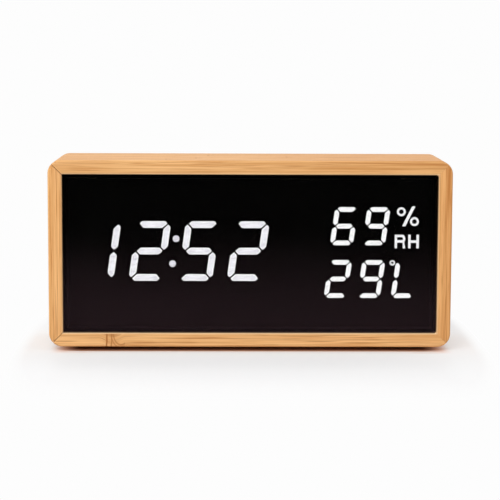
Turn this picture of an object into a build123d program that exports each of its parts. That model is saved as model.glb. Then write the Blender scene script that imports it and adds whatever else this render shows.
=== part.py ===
from build123d import *
import math
import os

# Desk clock: mitred bamboo frame, smoked front panel, lit digit block, rear cover with keys and cells.
# Millimetres. X runs to the right seen from the front, Y from front to back, Z up from the table.
# The origin lies on the table below the middle of the case.

# Wooden frame
case_width = 150.0
case_height = 69.8
case_depth = 40.0
corner_radius = 5.0
frame_lip = 5.2
rabbet_width = 1.4
outer_edge_round = 0.8
inner_edge_chamfer = 0.4
opening_corner = 1.0
open_mitre_gap = 0.2
tight_mitre_gap = 0.04
block_side = 9.0
block_length = 12.0

# Rubber feet
foot_height = 1.5
foot_diameter = 10.0
foot_inset = 12.0
foot_edge_round = 0.3

# Front panel, its tape and the diffuser film
panel_recess = 0.6
panel_thickness = 2.0
panel_clearance = 0.1
tape_thickness = 0.2
film_margin = 0.5

# Digit block and the lenses in it
housing_margin = 1.0
housing_depth = 7.0
lens_depth = 5.0
lean_share = 0.14
corner_cut_share = 0.13

# Large and small digits, as drawn for a block of the pattern's width: spacing of the centre lines, stroke,
# and gap between segments
pattern_width = 134.8
large_column = 10.43
large_row = 9.94
large_stroke = 2.65
large_gap = 0.5
small_column = 6.86
small_row = 6.26
small_stroke = 1.86
small_gap = 0.35

# Places of the digits, as shares of the block's half width and half height
time_x_shares = (-0.831, -0.5555, -0.2831, -0.0105)
time_z_share = 0.03
humidity_x_shares = (0.5197, 0.6976)
humidity_z_share = 0.377
temperature_x_shares = (0.488, 0.6727, 0.8601)
temperature_z_share = -0.3505

# Lit segments, one word of segment letters for each digit
time_lit = ("bc", "abged", "afgcd", "abged")
humidity_lit = ("acdefg", "abcdfg")
temperature_lit = ("abged", "abcdfg", "fed")

# Colon, percent mark, letters and degree ring, placed from the digit that they follow
colon_rise = 4.68
dot_radius = 1.25
ring_radius = 1.7
ring_hole_radius = 0.85
upper_ring_x = 9.28
upper_ring_z = 5.49
lower_ring_x = 14.21
lower_ring_z = 1.81
slash_x = 12.06
slash_z = 3.78
slash_width = 1.3
slash_height = 7.45
slash_run = 3.65
letter_width = 4.05
letter_height = 5.15
letter_stroke = 1.0
letter_r_x = 8.93
letter_h_x = 13.98
letters_z = -5.67
bowl_height_share = 0.58
bowl_round_share = 0.45
degree_radius = 1.05
degree_hole_radius = 0.42
degree_x = -4.79
degree_z = 6.15

# Lamp chips behind the segments
led_length = 1.6
led_width = 0.8
led_height = 0.6
led_clearance = 0.1

# Circuit boards and their screws
board_thickness = 1.6
board_screw_inset = 3.6
board_screw_length = 5.0
board_screw_radius = 0.95
board_head_radius = 1.9
board_head_height = 1.3
screw_clearance = 0.05
screw_tip_room = 0.3
head_round_share = 0.4
recess_length_share = 1.2
recess_width_share = 0.3
recess_depth_share = 0.5

# Parts on the main board, placed as shares of its half width and half height
controller_side = 10.0
controller_height = 1.5
controller_x_share = 0.22
controller_z_share = 0.2
driver_length = 18.0
driver_width = 7.5
driver_height = 2.3
driver_x_share = 0.6
driver_z_share = 0.45
chip_legs = 9
leg_width = 0.45
leg_reach = 1.1
leg_height = 0.7
crystal_length = 11.0
crystal_width = 4.6
crystal_height = 3.5
crystal_x_share = 0.22
crystal_z_share = -0.32
capacitor_radius = 2.5
capacitor_height = 5.5
capacitor_groove = 0.35
capacitor_groove_rise = 1.2
capacitor_x_shares = (-0.86, -0.76)
capacitor_z_share = 0.3

# Ribbon cable and its two sockets
socket_width = 6.0
socket_length = 13.0
socket_height = 4.0
ribbon_width = 10.0
ribbon_thickness = 0.7
ribbon_straight = 4.0
ribbon_x_share = -0.36

# Rear cover, and the shares of its spare width left of the key board and right of the battery well
cover_recess = 2.5
left_room_share = 0.32
right_room_share = 0.41
cover_thickness = 2.0
cover_clearance = 0.15
cover_corner = 1.0
cover_screw_length = 9.0
cover_screw_radius = 1.1
cover_head_radius = 2.4
cover_head_height = 1.5

# Cells and contacts
cell_diameter = 10.5
cell_length = 44.5
cell_spacing = 0.5
cell_clearance = 0.3
cell_seat_gap = 0.1
cell_edge_round = 0.6
nub_radius = 1.9
nub_length = 0.8
contact_thickness = 0.4
contact_width = 8.4
contact_height = 6.4
tab_strip_width = 3.0
tab_strip_reach = 1.5
tab_strip_clearance = 0.1
spring_wire = 0.5
spring_length = 5.0
spring_base_radius = 3.4
spring_top_radius = 2.0
spring_bend = 0.6
spring_quarter_turns = 10
gap_samples = 400

# Battery well and door
well_wall = 1.8
door_ledge = 1.0
door_gap = 0.25
door_clearance = 0.3
hinge_tab_width = 4.0
hinge_tab_share = 0.6
hinge_tab_reach = 1.6
hinge_tab_thickness = 0.9
hinge_tab_drop = 0.1
notch_clearance = 0.4
latch_width = 12.0
latch_length = 10.0
latch_slit = 0.6
nose_width = 8.0
nose_length = 1.2
nose_depth = 1.0
nose_travel = 1.0
grip_ribs = 3
grip_rib_width = 0.6
grip_rib_pitch = 1.5
grip_rib_rise = 0.5
scoop_radius = 5.0
scoop_depth = 1.1

# Battery leads: sidestep, and end runs as a share of the way from a contact to the main board
lead_radius = 0.5
lead_step = 8.0
lead_end_share = 0.42
lead_bend_share = 0.45

# Key board behind the cover
key_board_width = 50.0
key_board_height = 38.0
boss_radius = 2.6
boss_length = 6.2

# Keys, their switches and their caps, as shares of the key board's half sizes
key_x_shares = (0.52, 0.0, -0.52)
key_z_share = 0.47
key_travel = 0.3
cap_radius = 3.0
cap_clearance = 0.25
cap_proud = 1.0
cap_edge_round = 0.5
flange_width = 1.0
flange_thickness = 1.0
flange_gap = 0.2
icon_radius = 1.5
icon_line = 0.5
icon_depth = 0.25
switch_side = 6.0
switch_height = 3.5
switch_cover_thickness = 0.3
plunger_radius = 1.75
plunger_clearance = 0.1
plunger_insert = 1.2
bore_room = 0.2

# Charging socket
usb_x_share = 0.52
usb_z_share = -0.53
usb_width = 7.5
usb_height = 2.6
usb_corner = 0.9
usb_wall = 0.3
usb_setback = 0.6
usb_margin = 0.5
usb_opening_round = 0.8
tongue_width = 4.4
tongue_thickness = 0.6
tongue_setback = 0.8

# Sensors, buzzer and the openings over them
sensor_x_share = -0.52
sensor_z_share = -0.42
sensor_width = 7.0
sensor_length = 9.0
sensor_height = 4.5
sensor_slots = 4
sensor_slot_width = 0.7
sensor_slot_pitch = 1.9
sensor_slot_length = 5.0
sensor_slot_depth = 1.0
vent_slots = 5
vent_width = 1.2
vent_length = 9.0
vent_pitch = 2.4
thermistor_x_share = -0.27
thermistor_z_share = -0.1
bead_radius = 1.2
bead_rise = 3.0
wire_radius = 0.25
wire_pitch = 1.2
buzzer_x_share = 0.0
buzzer_z_share = -0.47
buzzer_radius = 4.5
buzzer_height = 5.0
buzzer_mouth_radius = 1.0
buzzer_mouth_depth = 1.5
buzzer_edge_round = 0.4
sound_hole_radius = 0.6
sound_circle_radius = 2.4
sound_holes = 6

# How far a cut runs past the face that it goes through
overrun = 1.0

# Worked-out widths and heights
plank = frame_lip + rabbet_width
cavity_width = case_width - 2 * plank
cavity_height = case_height - 2 * plank
opening_width = case_width - 2 * frame_lip
opening_height = case_height - 2 * frame_lip
case_middle = foot_height + case_height / 2
housing_width = cavity_width - 2 * housing_margin
housing_height = cavity_height - 2 * housing_margin
pattern_scale = housing_width / pattern_width

# Worked-out depths, from the front to the back
front = -case_depth / 2
back = case_depth / 2
panel_front = front + panel_recess
panel_back = panel_front + panel_thickness
ledge_front = panel_back + tape_thickness
lens_back = ledge_front + lens_depth
housing_back = ledge_front + housing_depth
board_back = housing_back + board_thickness
cover_back = back - cover_recess
cover_front = cover_back - cover_thickness
key_board_back = cover_front - boss_length
key_board_front = key_board_back - board_thickness

# Worked-out battery well
cell_radius = cell_diameter / 2
cell_pitch = cell_diameter + cell_spacing
cell_y = cover_front - door_clearance - cell_radius
cell_heights = (case_middle + cell_pitch, case_middle, case_middle - cell_pitch)
well_length = cell_length + 2 * contact_thickness + spring_length
well_height = 2 * cell_pitch + cell_diameter + 2 * cell_clearance
spare_width = cavity_width - key_board_width - well_length - 2 * well_wall
well_right = cavity_width / 2 - right_room_share * spare_width - well_wall
well_left = well_right - well_length
well_low = case_middle - well_height / 2
well_high = case_middle + well_height / 2
well_floor = cell_y - cell_radius - cell_seat_gap
strip_end = well_floor - well_wall - tab_strip_reach
door_left = well_left - door_ledge + door_gap
door_right = well_right + door_ledge - door_gap
hinge_radius = cover_thickness / 2
hinge_x = door_right - hinge_radius
hinge_y = cover_back - hinge_radius
tab_tip = math.hypot(hinge_radius + hinge_tab_reach, hinge_radius + hinge_tab_drop + hinge_tab_thickness)
hinge_notch = tab_tip - hinge_radius + notch_clearance
hinge_tab_heights = [case_middle + side * hinge_tab_share * cell_pitch for side in (1, -1)]

# Worked-out key board
key_board_x = (key_board_width - cavity_width) / 2 + left_room_share * spare_width


# Helpers
def slab(sketch, y_from, y_to):
    """A sketch drawn in X and Z, carried between two depths."""
    low, high = sorted((y_from, y_to))
    plane = Plane(origin=(0, low, 0), x_dir=(1, 0, 0), z_dir=(0, -1, 0))
    return extrude(plane * sketch, amount=high - low, dir=(0, 1, 0))


def brick(x_span, y_span, z_span):
    """A block between pairs of X, Y and Z values."""
    spans = (x_span, y_span, z_span)
    middle = [(low + high) / 2 for low, high in spans]
    return Pos(*middle) * Box(*[abs(high - low) for low, high in spans])


def rod(x, z, radius, y_from, y_to):
    """A round rod along Y."""
    return slab(Pos(x, z) * Circle(radius), y_from, y_to)


def about(middle, size):
    """The span of a size about its middle."""
    return (middle - size / 2, middle + size / 2)


def outline(points):
    """A flat sketch through points given in X and Z."""
    return make_face(Polyline(*points, close=True))


def group(pieces):
    """Separate solids kept together as one node."""
    return Compound([solid for piece in pieces for solid in piece.solids()])


def pan_screw(x, z, seat, tip, head_radius, head_height, shank_radius):
    """A pan-head screw along Y: the head stands on the seat and the shank runs to the tip."""
    side = 1 if seat > tip else -1
    top = seat + side * head_height
    head = rod(x, z, head_radius, seat, top)
    rim = head.edges().filter_by(GeomType.CIRCLE).sort_by(Axis.Y)[-1 if side > 0 else 0]
    head = fillet(rim, head_height * head_round_share)
    long_side = head_radius * recess_length_share
    short_side = head_radius * recess_width_share
    cross = Rectangle(long_side, short_side) + Rectangle(short_side, long_side)
    recess = slab(Pos(x, z) * cross, top, top - side * head_height * recess_depth_share)
    return head + rod(x, z, shank_radius, seat, tip) - recess


# Wooden frame
def front_opening(margin):
    """Outline of the front opening, drawn in by a margin, with its two right-hand corners rounded."""
    sheet = Rectangle(opening_width - 2 * margin, opening_height - 2 * margin)
    corners = sheet.vertices().group_by(Axis.X)[-1]
    return Pos(0, case_middle) * fillet(corners, opening_corner - margin)


def frame_planks():
    """Four planks cut from one rounded frame along its 45 degree corner joints."""
    middle = Pos(0, case_middle)
    body = slab(middle * RectangleRounded(case_width, case_height, corner_radius), front, back)
    body = fillet(body.faces().filter_by(Axis.Y).edges(), outer_edge_round)
    body -= slab(middle * Rectangle(cavity_width, cavity_height), front, back)
    body -= slab(front_opening(0), front, ledge_front)
    body -= slab(middle * Rectangle(opening_width, opening_height), cover_front, back)
    ends = body.faces().sort_by(Axis.Y)
    inner_edges = ends[0].inner_wires()[0].edges() + ends[-1].inner_wires()[0].edges()
    body = chamfer(inner_edges, inner_edge_chamfer)
    side = case_width / 2
    half = case_height / 2
    low = case_middle - half - overrun
    high = case_middle + half + overrun
    far = side + overrun
    near = side - half
    upper = outline([(-far, high), (far, high), (near, case_middle), (-near, case_middle)])
    lower = outline([(-far, low), (far, low), (near, case_middle), (-near, case_middle)])
    left = outline([(-far, low), (-near, case_middle), (-far, high)])
    right = outline([(far, low), (near, case_middle), (far, high)])
    left_shift = -open_mitre_gap * math.sqrt(2)
    right_shift = tight_mitre_gap * math.sqrt(2)
    wedges = {
        "frame_top": upper,
        "frame_bottom": lower,
        "frame_left": Pos(left_shift, 0) * left,
        "frame_right": Pos(right_shift, 0) * right,
    }
    return {name: body & slab(wedge, front, back) for name, wedge in wedges.items()}


def corner_places():
    """Middles of the four inside corner blocks, where the cover screws go."""
    x = (cavity_width - block_side) / 2
    z = (cavity_height - block_side) / 2
    return [(sx * x, case_middle + sz * z) for sx in (-1, 1) for sz in (-1, 1)]


def corner_blocks():
    """Square blocks glued in the inside corners, each with a pilot hole from the back."""
    hole_end = cover_back - cover_screw_length - screw_tip_room
    blocks = []
    for x, z in corner_places():
        square = Pos(x, z) * Rectangle(block_side, block_side)
        block = slab(square, cover_front - block_length, cover_front)
        blocks.append(block - rod(x, z, cover_screw_radius + screw_clearance, hole_end, cover_front))
    return group(blocks)


def rubber_feet():
    """Four round pads under the bottom plank."""
    x = case_width / 2 - foot_inset
    y = case_depth / 2 - foot_inset
    pad = Cylinder(foot_diameter / 2, foot_height, align=(Align.CENTER, Align.CENTER, Align.MIN))
    pad = fillet(pad.edges().filter_by(GeomType.CIRCLE).sort_by(Axis.Z)[0], foot_edge_round)
    return group([Pos(sx * x, sy * y, 0) * pad for sx in (-1, 1) for sy in (-1, 1)])


# Front panel
def front_pieces():
    """The smoked panel, the tape ring behind its rim and the diffuser film inside the ring."""
    middle = Pos(0, case_middle)
    sheet = front_opening(panel_clearance)
    ring = sheet - middle * Rectangle(cavity_width, cavity_height)
    film = middle * Rectangle(cavity_width - 2 * film_margin, cavity_height - 2 * film_margin)
    return {
        "front_panel": slab(sheet, panel_front, panel_back),
        "panel_tape": slab(ring, panel_back, ledge_front),
        "diffuser_film": slab(film, panel_back, ledge_front),
    }


# Digits
def digit_places(x_shares, z_share):
    """Middles of a row of digits."""
    z = case_middle + z_share * housing_height / 2
    return [(share * housing_width / 2, z) for share in x_shares]


def digit_segments(place, column, row, stroke, gap):
    """The seven outlines of a leaning digit: segment letter to points in X and Z.

    Segments meet on 45 degree lines, a gap apart, and the digit's outer corners are cut off.
    """
    half = stroke / 2
    setback = gap / math.sqrt(2)
    cut = corner_cut_share * stroke
    tip = (cut - setback) / 2
    tip_out = (cut + setback) / 2
    end = column / 2
    cross_half = [(end + tip, tip_out), (end + cut - half, half)]
    bar = [(-end + setback + half, -half), (end - setback - half, -half)]
    bar += cross_half + [(-x, z) for x, z in reversed(cross_half)]
    shoulder = end - setback - half
    middle_bar = [(end - setback, 0), (shoulder, half), (-shoulder, half)]
    middle_bar += [(-x, -z) for x, z in middle_bar]
    post = [(0, setback), (half, setback + half), (half, row + cut - half), (tip_out, row + tip)]
    post += [(-half, row - setback - half), (-half, setback + half)]
    flat = {
        "a": [(x, row + z) for x, z in bar],
        "d": [(x, -row - z) for x, z in bar],
        "g": middle_bar,
        "b": [(end + x, z) for x, z in post],
        "c": [(end + x, -z) for x, z in post],
        "f": [(-end - x, z) for x, z in post],
        "e": [(-end - x, -z) for x, z in post],
    }
    x0, z0 = place
    return {name: [(x0 + x + lean_share * z, z0 + z) for x, z in points] for name, points in flat.items()}


def digit_rows():
    """Every digit row: node name, places, lit segments and digit sizes."""
    large = [pattern_scale * size for size in (large_column, large_row, large_stroke, large_gap)]
    small = [pattern_scale * size for size in (small_column, small_row, small_stroke, small_gap)]
    time = digit_places(time_x_shares, time_z_share)
    humidity = digit_places(humidity_x_shares, humidity_z_share)
    temperature = digit_places(temperature_x_shares, temperature_z_share)
    return [
        ("time_digits", time, time_lit, large),
        ("humidity_digits", humidity, humidity_lit, small),
        ("temperature_digits", temperature, temperature_lit, small),
    ]


def colon_places():
    """Middles of the two dots, on the lean of the digits, halfway between the second and third."""
    places = digit_places(time_x_shares, time_z_share)
    x = (places[1][0] + places[2][0]) / 2
    z = places[1][1]
    rise = pattern_scale * colon_rise
    return [(x + side * rise * lean_share, z + side * rise) for side in (1, -1)]


def letter_r():
    """The letter R about its middle: stem, rounded bowl and leg."""
    bowl_height = bowl_height_share * letter_height
    bowl = Rectangle(letter_width, bowl_height)
    corners = bowl.vertices().group_by(Axis.X)[-1]
    bowl = fillet(corners, bowl_round_share * bowl_height)
    bowl -= Rectangle(letter_width - 2 * letter_stroke, bowl_height - 2 * letter_stroke)
    leg_height = letter_height - bowl_height + letter_stroke
    side = (letter_width - letter_stroke) / 2
    stem = Pos(-side, 0) * Rectangle(letter_stroke, letter_height)
    leg = Pos(side, (leg_height - letter_height) / 2) * Rectangle(letter_stroke, leg_height)
    return stem + Pos(0, (letter_height - bowl_height) / 2) * bowl + leg


def letter_h():
    """The letter H about its middle: two stems and a bar."""
    side = (letter_width - letter_stroke) / 2
    stems = [Pos(sign * side, 0) * Rectangle(letter_stroke, letter_height) for sign in (-1, 1)]
    return stems[0] + stems[1] + Rectangle(letter_width, letter_stroke)


def unit_marks():
    """The percent mark, the two letters and the degree ring: sketch and place of the lamp of each."""
    x, z = digit_places(humidity_x_shares, humidity_z_share)[-1]
    unit_x, unit_z = digit_places(temperature_x_shares, temperature_z_share)[-1]
    ring = Circle(ring_radius) - Circle(ring_hole_radius)
    ring_lamp = (ring_radius + ring_hole_radius) / 2
    degree = Circle(degree_radius) - Circle(degree_hole_radius)
    degree_lamp = (degree_radius + degree_hole_radius) / 2
    half_run = slash_run / 2
    half_width = slash_width / 2
    half_height = slash_height / 2
    slash = outline([
        (-half_run - half_width, -half_height),
        (-half_run + half_width, -half_height),
        (half_run + half_width, half_height),
        (half_run - half_width, half_height),
    ])
    stem_lamp = (letter_stroke - letter_width) / 2
    rows = [
        (ring, x, z, (upper_ring_x, upper_ring_z), (0, ring_lamp)),
        (ring, x, z, (lower_ring_x, lower_ring_z), (0, -ring_lamp)),
        (slash, x, z, (slash_x, slash_z), (0, 0)),
        (letter_r(), x, z, (letter_r_x, letters_z), (stem_lamp, 0)),
        (letter_h(), x, z, (letter_h_x, letters_z), (stem_lamp, 0)),
        (degree, unit_x, unit_z, (degree_x, degree_z), (0, degree_lamp)),
    ]
    marks = []
    for sketch, from_x, from_z, (right, up), (lamp_right, lamp_up) in rows:
        place = (from_x + pattern_scale * right, from_z + pattern_scale * up)
        lamp_place = (place[0] + pattern_scale * lamp_right, place[1] + pattern_scale * lamp_up)
        marks.append((Pos(*place) * scale(sketch, by=pattern_scale), lamp_place))
    return marks


def lamp(x, z, upright):
    """One lamp chip on the front of the main board, lying along its segment."""
    width, height = (led_width, led_length) if upright else (led_length, led_width)
    return brick(about(x, width), (housing_back - led_height, housing_back), about(z, height))


def display_pieces():
    """The segment lenses, the lamps behind them and the black block that holds both."""
    nodes = {}
    dark = []
    lamps = []
    cuts = []
    for name, places, lit, sizes in digit_rows():
        bright = []
        for place, word in zip(places, lit):
            for letter, points in digit_segments(place, *sizes).items():
                sketch = outline(points)
                lens = slab(sketch, ledge_front, lens_back)
                (bright if letter in word else dark).append(lens)
                cuts.append(slab(sketch, ledge_front, housing_back))
                middle_x = sum(x for x, _ in points) / len(points)
                middle_z = sum(z for _, z in points) / len(points)
                lamps.append(lamp(middle_x, middle_z, letter in "bcef"))
        nodes[name] = group(bright)
    nodes["unlit_segments"] = group(dark)
    dots = colon_places()
    dot = pattern_scale * dot_radius
    nodes["colon_dots"] = group([rod(x, z, dot, ledge_front, lens_back) for x, z in dots])
    cuts += [rod(x, z, dot, ledge_front, housing_back) for x, z in dots]
    lamps += [lamp(x, z, False) for x, z in dots]
    marks = unit_marks()
    nodes["unit_marks"] = group([slab(sketch, ledge_front, lens_back) for sketch, _ in marks])
    pocket = (led_width + 2 * led_clearance, led_length + 2 * led_clearance)
    for sketch, (x, z) in marks:
        cuts.append(slab(sketch, ledge_front, lens_back))
        cuts.append(slab(Pos(x, z) * Rectangle(*pocket), lens_back, housing_back))
        lamps.append(lamp(x, z, True))
    nodes["segment_leds"] = group(lamps)
    pilot_end = board_back - board_screw_length - screw_tip_room
    pilot = board_screw_radius + screw_clearance
    cuts += [rod(x, z, pilot, pilot_end, housing_back) for x, z in board_screw_places()]
    block = slab(Pos(0, case_middle) * Rectangle(housing_width, housing_height), ledge_front, housing_back)
    nodes["display_housing"] = block - cuts
    return nodes


# Main board
def board_screw_places():
    """Six screw places along the upper and lower edges of the main board."""
    x = housing_width / 2 - board_screw_inset
    z = housing_height / 2 - board_screw_inset
    return [(sx * x, case_middle + sz * z) for sx in (-1, 0, 1) for sz in (-1, 1)]


def on_main_board(x_share, z_share):
    """A place on the main board from shares of its half width and half height."""
    return (x_share * housing_width / 2, case_middle + z_share * housing_height / 2)


def chip(place, length, width, height, four_sided):
    """A chip on the back of the main board, with a row of legs on two or four sides."""
    x, z = place
    body = brick(about(x, length), (board_back, board_back + height), about(z, width))
    leg_span = (board_back, board_back + leg_height)
    legs = []
    for index in range(chip_legs):
        offset = (index + 1) / (chip_legs + 1) - 1 / 2
        along_x = about(x + offset * length, leg_width)
        legs.append(brick(along_x, leg_span, about(z, width + 2 * leg_reach)))
        if four_sided:
            along_z = about(z + offset * width, leg_width)
            legs.append(brick(about(x, length + 2 * leg_reach), leg_span, along_z))
    return body + legs


def capacitor(place):
    """A can capacitor standing on the main board, with the crimp groove near its foot."""
    x, z = place
    can = rod(x, z, capacitor_radius, board_back, board_back + capacitor_height)
    groove_low = board_back + capacitor_groove_rise
    groove_high = groove_low + capacitor_groove
    ring = rod(x, z, capacitor_radius + overrun, groove_low, groove_high)
    neck = rod(x, z, capacitor_radius - capacitor_groove, groove_low, groove_high)
    return can - (ring - neck)


def ribbon_place():
    """Left-hand middle of the two ribbon sockets."""
    return (key_board_x + ribbon_x_share * key_board_width / 2, case_middle)


def ribbon_pieces():
    """Two sockets face to face on the two boards, and the flat cable that turns between them."""
    x, z = ribbon_place()
    main_span = (board_back, board_back + socket_height)
    key_span = (key_board_front - socket_height, key_board_front)
    near = sum(main_span) / 2
    far = sum(key_span) / 2
    half = ribbon_thickness / 2
    start = x + socket_width / 2
    turn = start + ribbon_straight
    radius = (far - near) / 2
    middle = (near + far) / 2
    outer = [Line((start, near - half), (turn, near - half))]
    outer.append(ThreePointArc((turn, near - half), (turn + radius + half, middle), (turn, far + half)))
    outer.append(Line((turn, far + half), (start, far + half)))
    inner = [Line((start, far - half), (turn, far - half))]
    inner.append(ThreePointArc((turn, far - half), (turn + radius - half, middle), (turn, near + half)))
    inner.append(Line((turn, near + half), (start, near + half)))
    joins = [Line((start, far + half), (start, far - half)), Line((start, near + half), (start, near - half))]
    strip = make_face(outer + inner + joins)
    cable = extrude(Pos(0, 0, z - ribbon_width / 2) * strip, amount=ribbon_width, dir=(0, 0, 1))
    width_span = about(x, socket_width)
    length_span = about(z, socket_length)
    return {
        "ribbon_socket_main": brick(width_span, main_span, length_span),
        "ribbon_socket_key": brick(width_span, key_span, length_span),
        "ribbon_cable": cable,
    }


def main_board_pieces():
    """The main board with its screws, chips, crystal and capacitors."""
    board = slab(Pos(0, case_middle) * Rectangle(housing_width, housing_height), housing_back, board_back)
    screws = []
    tip = board_back - board_screw_length
    sizes = (board_head_radius, board_head_height, board_screw_radius)
    for x, z in board_screw_places():
        board -= rod(x, z, board_screw_radius + screw_clearance, housing_back, board_back)
        screws.append(pan_screw(x, z, board_back, tip, *sizes))
    crystal_place = on_main_board(crystal_x_share, crystal_z_share)
    crystal = Pos(*crystal_place) * SlotOverall(crystal_length, crystal_width)
    controller_place = on_main_board(controller_x_share, controller_z_share)
    driver_place = on_main_board(driver_x_share, driver_z_share)
    cans = [capacitor(on_main_board(share, capacitor_z_share)) for share in capacitor_x_shares]
    return {
        "main_board": board,
        "main_board_screws": group(screws),
        "controller_chip": chip(controller_place, controller_side, controller_side, controller_height, True),
        "driver_chip": chip(driver_place, driver_length, driver_width, driver_height, False),
        "crystal_can": slab(crystal, board_back, board_back + crystal_height),
        "capacitors": group(cans),
    }


# Rear cover
def on_key_board(x_share, z_share):
    """A place on the key board from shares of its half width and half height."""
    return (key_board_x + x_share * key_board_width / 2, case_middle + z_share * key_board_height / 2)


def boss_places():
    """Middles of the four bosses that carry the key board."""
    x = key_board_width / 2 - board_screw_inset
    z = key_board_height / 2 - board_screw_inset
    return [(key_board_x + sx * x, case_middle + sz * z) for sx in (-1, 1) for sz in (-1, 1)]


def key_places():
    """Middles of the set, up and down keys."""
    return [on_key_board(share, key_z_share) for share in key_x_shares]


def battery_well():
    """The open-backed box behind the cover that holds the cells, with slots for the contact strips."""
    x_span = (well_left - well_wall, well_right + well_wall)
    z_span = (well_low - well_wall, well_high + well_wall)
    return brick(x_span, (well_floor - well_wall, cover_front), z_span)


def well_cuts():
    """The hollow of the well, the door's opening, and the notches for its tabs, latch and strips."""
    cuts = [brick((well_left, well_right), (well_floor, cover_front), (well_low, well_high))]
    door_x = (well_left - door_ledge, well_right + door_ledge)
    door_z = (well_low - door_ledge, well_high + door_ledge)
    cuts.append(brick(door_x, (cover_front, cover_back), door_z))
    tab_room = hinge_tab_width + 2 * notch_clearance
    tab_x = (well_right, well_right + well_wall)
    for z in hinge_tab_heights:
        cuts.append(brick(tab_x, (cover_front - hinge_notch, cover_front), about(z, tab_room)))
    nose_room = nose_width + 2 * notch_clearance
    nose_y = (cover_front - nose_depth - notch_clearance, cover_front)
    nose_x = (door_left - door_gap - nose_travel, well_left)
    cuts.append(brick(nose_x, nose_y, about(case_middle, nose_room)))
    slot = contact_thickness + tab_strip_clearance
    slot_width = tab_strip_width + 2 * tab_strip_clearance
    floor_y = (well_floor - well_wall, well_floor)
    cuts.append(brick((well_left, well_left + slot), floor_y, about(cell_heights[0], slot_width)))
    cuts.append(brick((well_right - slot, well_right), floor_y, about(cell_heights[2], slot_width)))
    cuts.append(rod(well_left - door_ledge, case_middle, scoop_radius, cover_back - scoop_depth, cover_back))
    return cuts


def cover_openings():
    """The holes of the cover plate: screws, keys, charging socket, sensor vents and sound holes."""
    screw_hole = cover_screw_radius + screw_clearance
    holes = [rod(x, z, screw_hole, cover_front, cover_back) for x, z in corner_places()]
    holes += [rod(x, z, cap_radius + cap_clearance, cover_front, cover_back) for x, z in key_places()]
    mouth = RectangleRounded(usb_width + 2 * usb_margin, usb_height + 2 * usb_margin, usb_opening_round)
    holes.append(slab(Pos(*on_key_board(usb_x_share, usb_z_share)) * mouth, cover_front, cover_back))
    vent_x, vent_z = on_key_board(sensor_x_share, sensor_z_share)
    for index in range(vent_slots):
        z = vent_z + (index - (vent_slots - 1) / 2) * vent_pitch
        holes.append(slab(Pos(vent_x, z) * SlotOverall(vent_length, vent_width), cover_front, cover_back))
    buzzer_x, buzzer_z = on_key_board(buzzer_x_share, buzzer_z_share)
    holes.append(rod(buzzer_x, buzzer_z, sound_hole_radius, cover_front, cover_back))
    for index in range(sound_holes):
        angle = 2 * math.pi * index / sound_holes
        x = buzzer_x + sound_circle_radius * math.cos(angle)
        z = buzzer_z + sound_circle_radius * math.sin(angle)
        holes.append(rod(x, z, sound_hole_radius, cover_front, cover_back))
    return holes


def rear_cover():
    """The cover plate with the battery well and the bosses for the key board."""
    width = opening_width - 2 * cover_clearance
    height = opening_height - 2 * cover_clearance
    plate = slab(Pos(0, case_middle) * RectangleRounded(width, height, cover_corner), cover_front, cover_back)
    bosses = [rod(x, z, boss_radius, key_board_back, cover_front) for x, z in boss_places()]
    pilot_end = key_board_front + board_screw_length + screw_tip_room
    pilot = board_screw_radius + screw_clearance
    pilots = [rod(x, z, pilot, key_board_back, pilot_end) for x, z in boss_places()]
    return plate + [battery_well()] + bosses - (well_cuts() + cover_openings() + pilots)


def rear_cover_screws():
    """Four screws through the cover into the corner blocks."""
    tip = cover_back - cover_screw_length
    sizes = (cover_head_radius, cover_head_height, cover_screw_radius)
    return group([pan_screw(x, z, cover_back, tip, *sizes) for x, z in corner_places()])


def battery_door():
    """A flush door: a round edge that turns in the opening, with two tabs under the cover's lip, and on the
    other side a springy latch tongue."""
    door_z = (well_low - door_ledge + door_gap, well_high + door_ledge - door_gap)
    door = brick((door_left, hinge_x), (cover_front, cover_back), door_z)
    door += Pos(hinge_x, hinge_y, case_middle) * Cylinder(hinge_radius, door_z[1] - door_z[0])
    tab_top = cover_front - hinge_tab_drop
    tab_bottom = tab_top - hinge_tab_thickness
    for z in hinge_tab_heights:
        z_span = about(z, hinge_tab_width)
        door += brick((well_right, door_right), (tab_bottom, hinge_y), z_span)
        door += brick((well_right, door_right + hinge_tab_reach), (tab_bottom, tab_top), z_span)
    for side in (-1, 1):
        slit_z = about(case_middle + side * latch_width / 2, latch_slit)
        door -= brick((door_left, door_left + latch_length), (cover_front, cover_back), slit_z)
    nose_y = (cover_front - nose_depth, cover_front)
    door += brick((door_left, door_left + nose_length), nose_y, about(case_middle, nose_width))
    for index in range(grip_ribs):
        rib_x = about(door_left + (index + 1) * grip_rib_pitch, grip_rib_width)
        door += brick(rib_x, (cover_back, cover_back + grip_rib_rise), about(case_middle, nose_width))
    return door


# Cells and contacts
def cell(z, nub_left):
    """One cell along X with its nub at the left or the right end of the well."""
    side = 1 if nub_left else -1
    tip = well_left + contact_thickness if nub_left else well_right - contact_thickness
    shoulder = tip + side * nub_length
    far = tip + side * cell_length
    plane = Plane(origin=(shoulder, cell_y, z), x_dir=(0, 1, 0), z_dir=(side, 0, 0))
    can = extrude(plane * Circle(cell_radius), amount=abs(far - shoulder))
    can = fillet(can.edges().filter_by(GeomType.CIRCLE), cell_edge_round)
    return can + extrude(plane * Circle(nub_radius), amount=-nub_length)


def contact_span(at_left):
    """The two sides of the contact sheets at one end of the well."""
    if at_left:
        return (well_left, well_left + contact_thickness)
    return (well_right - contact_thickness, well_right)


def contact_plate(at_left, heights):
    """A sprung contact sheet against one end of the well, over one cell or across two."""
    low = min(heights) - contact_width / 2
    high = max(heights) + contact_width / 2
    return brick(contact_span(at_left), about(cell_y, contact_height), (low, high))


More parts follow.
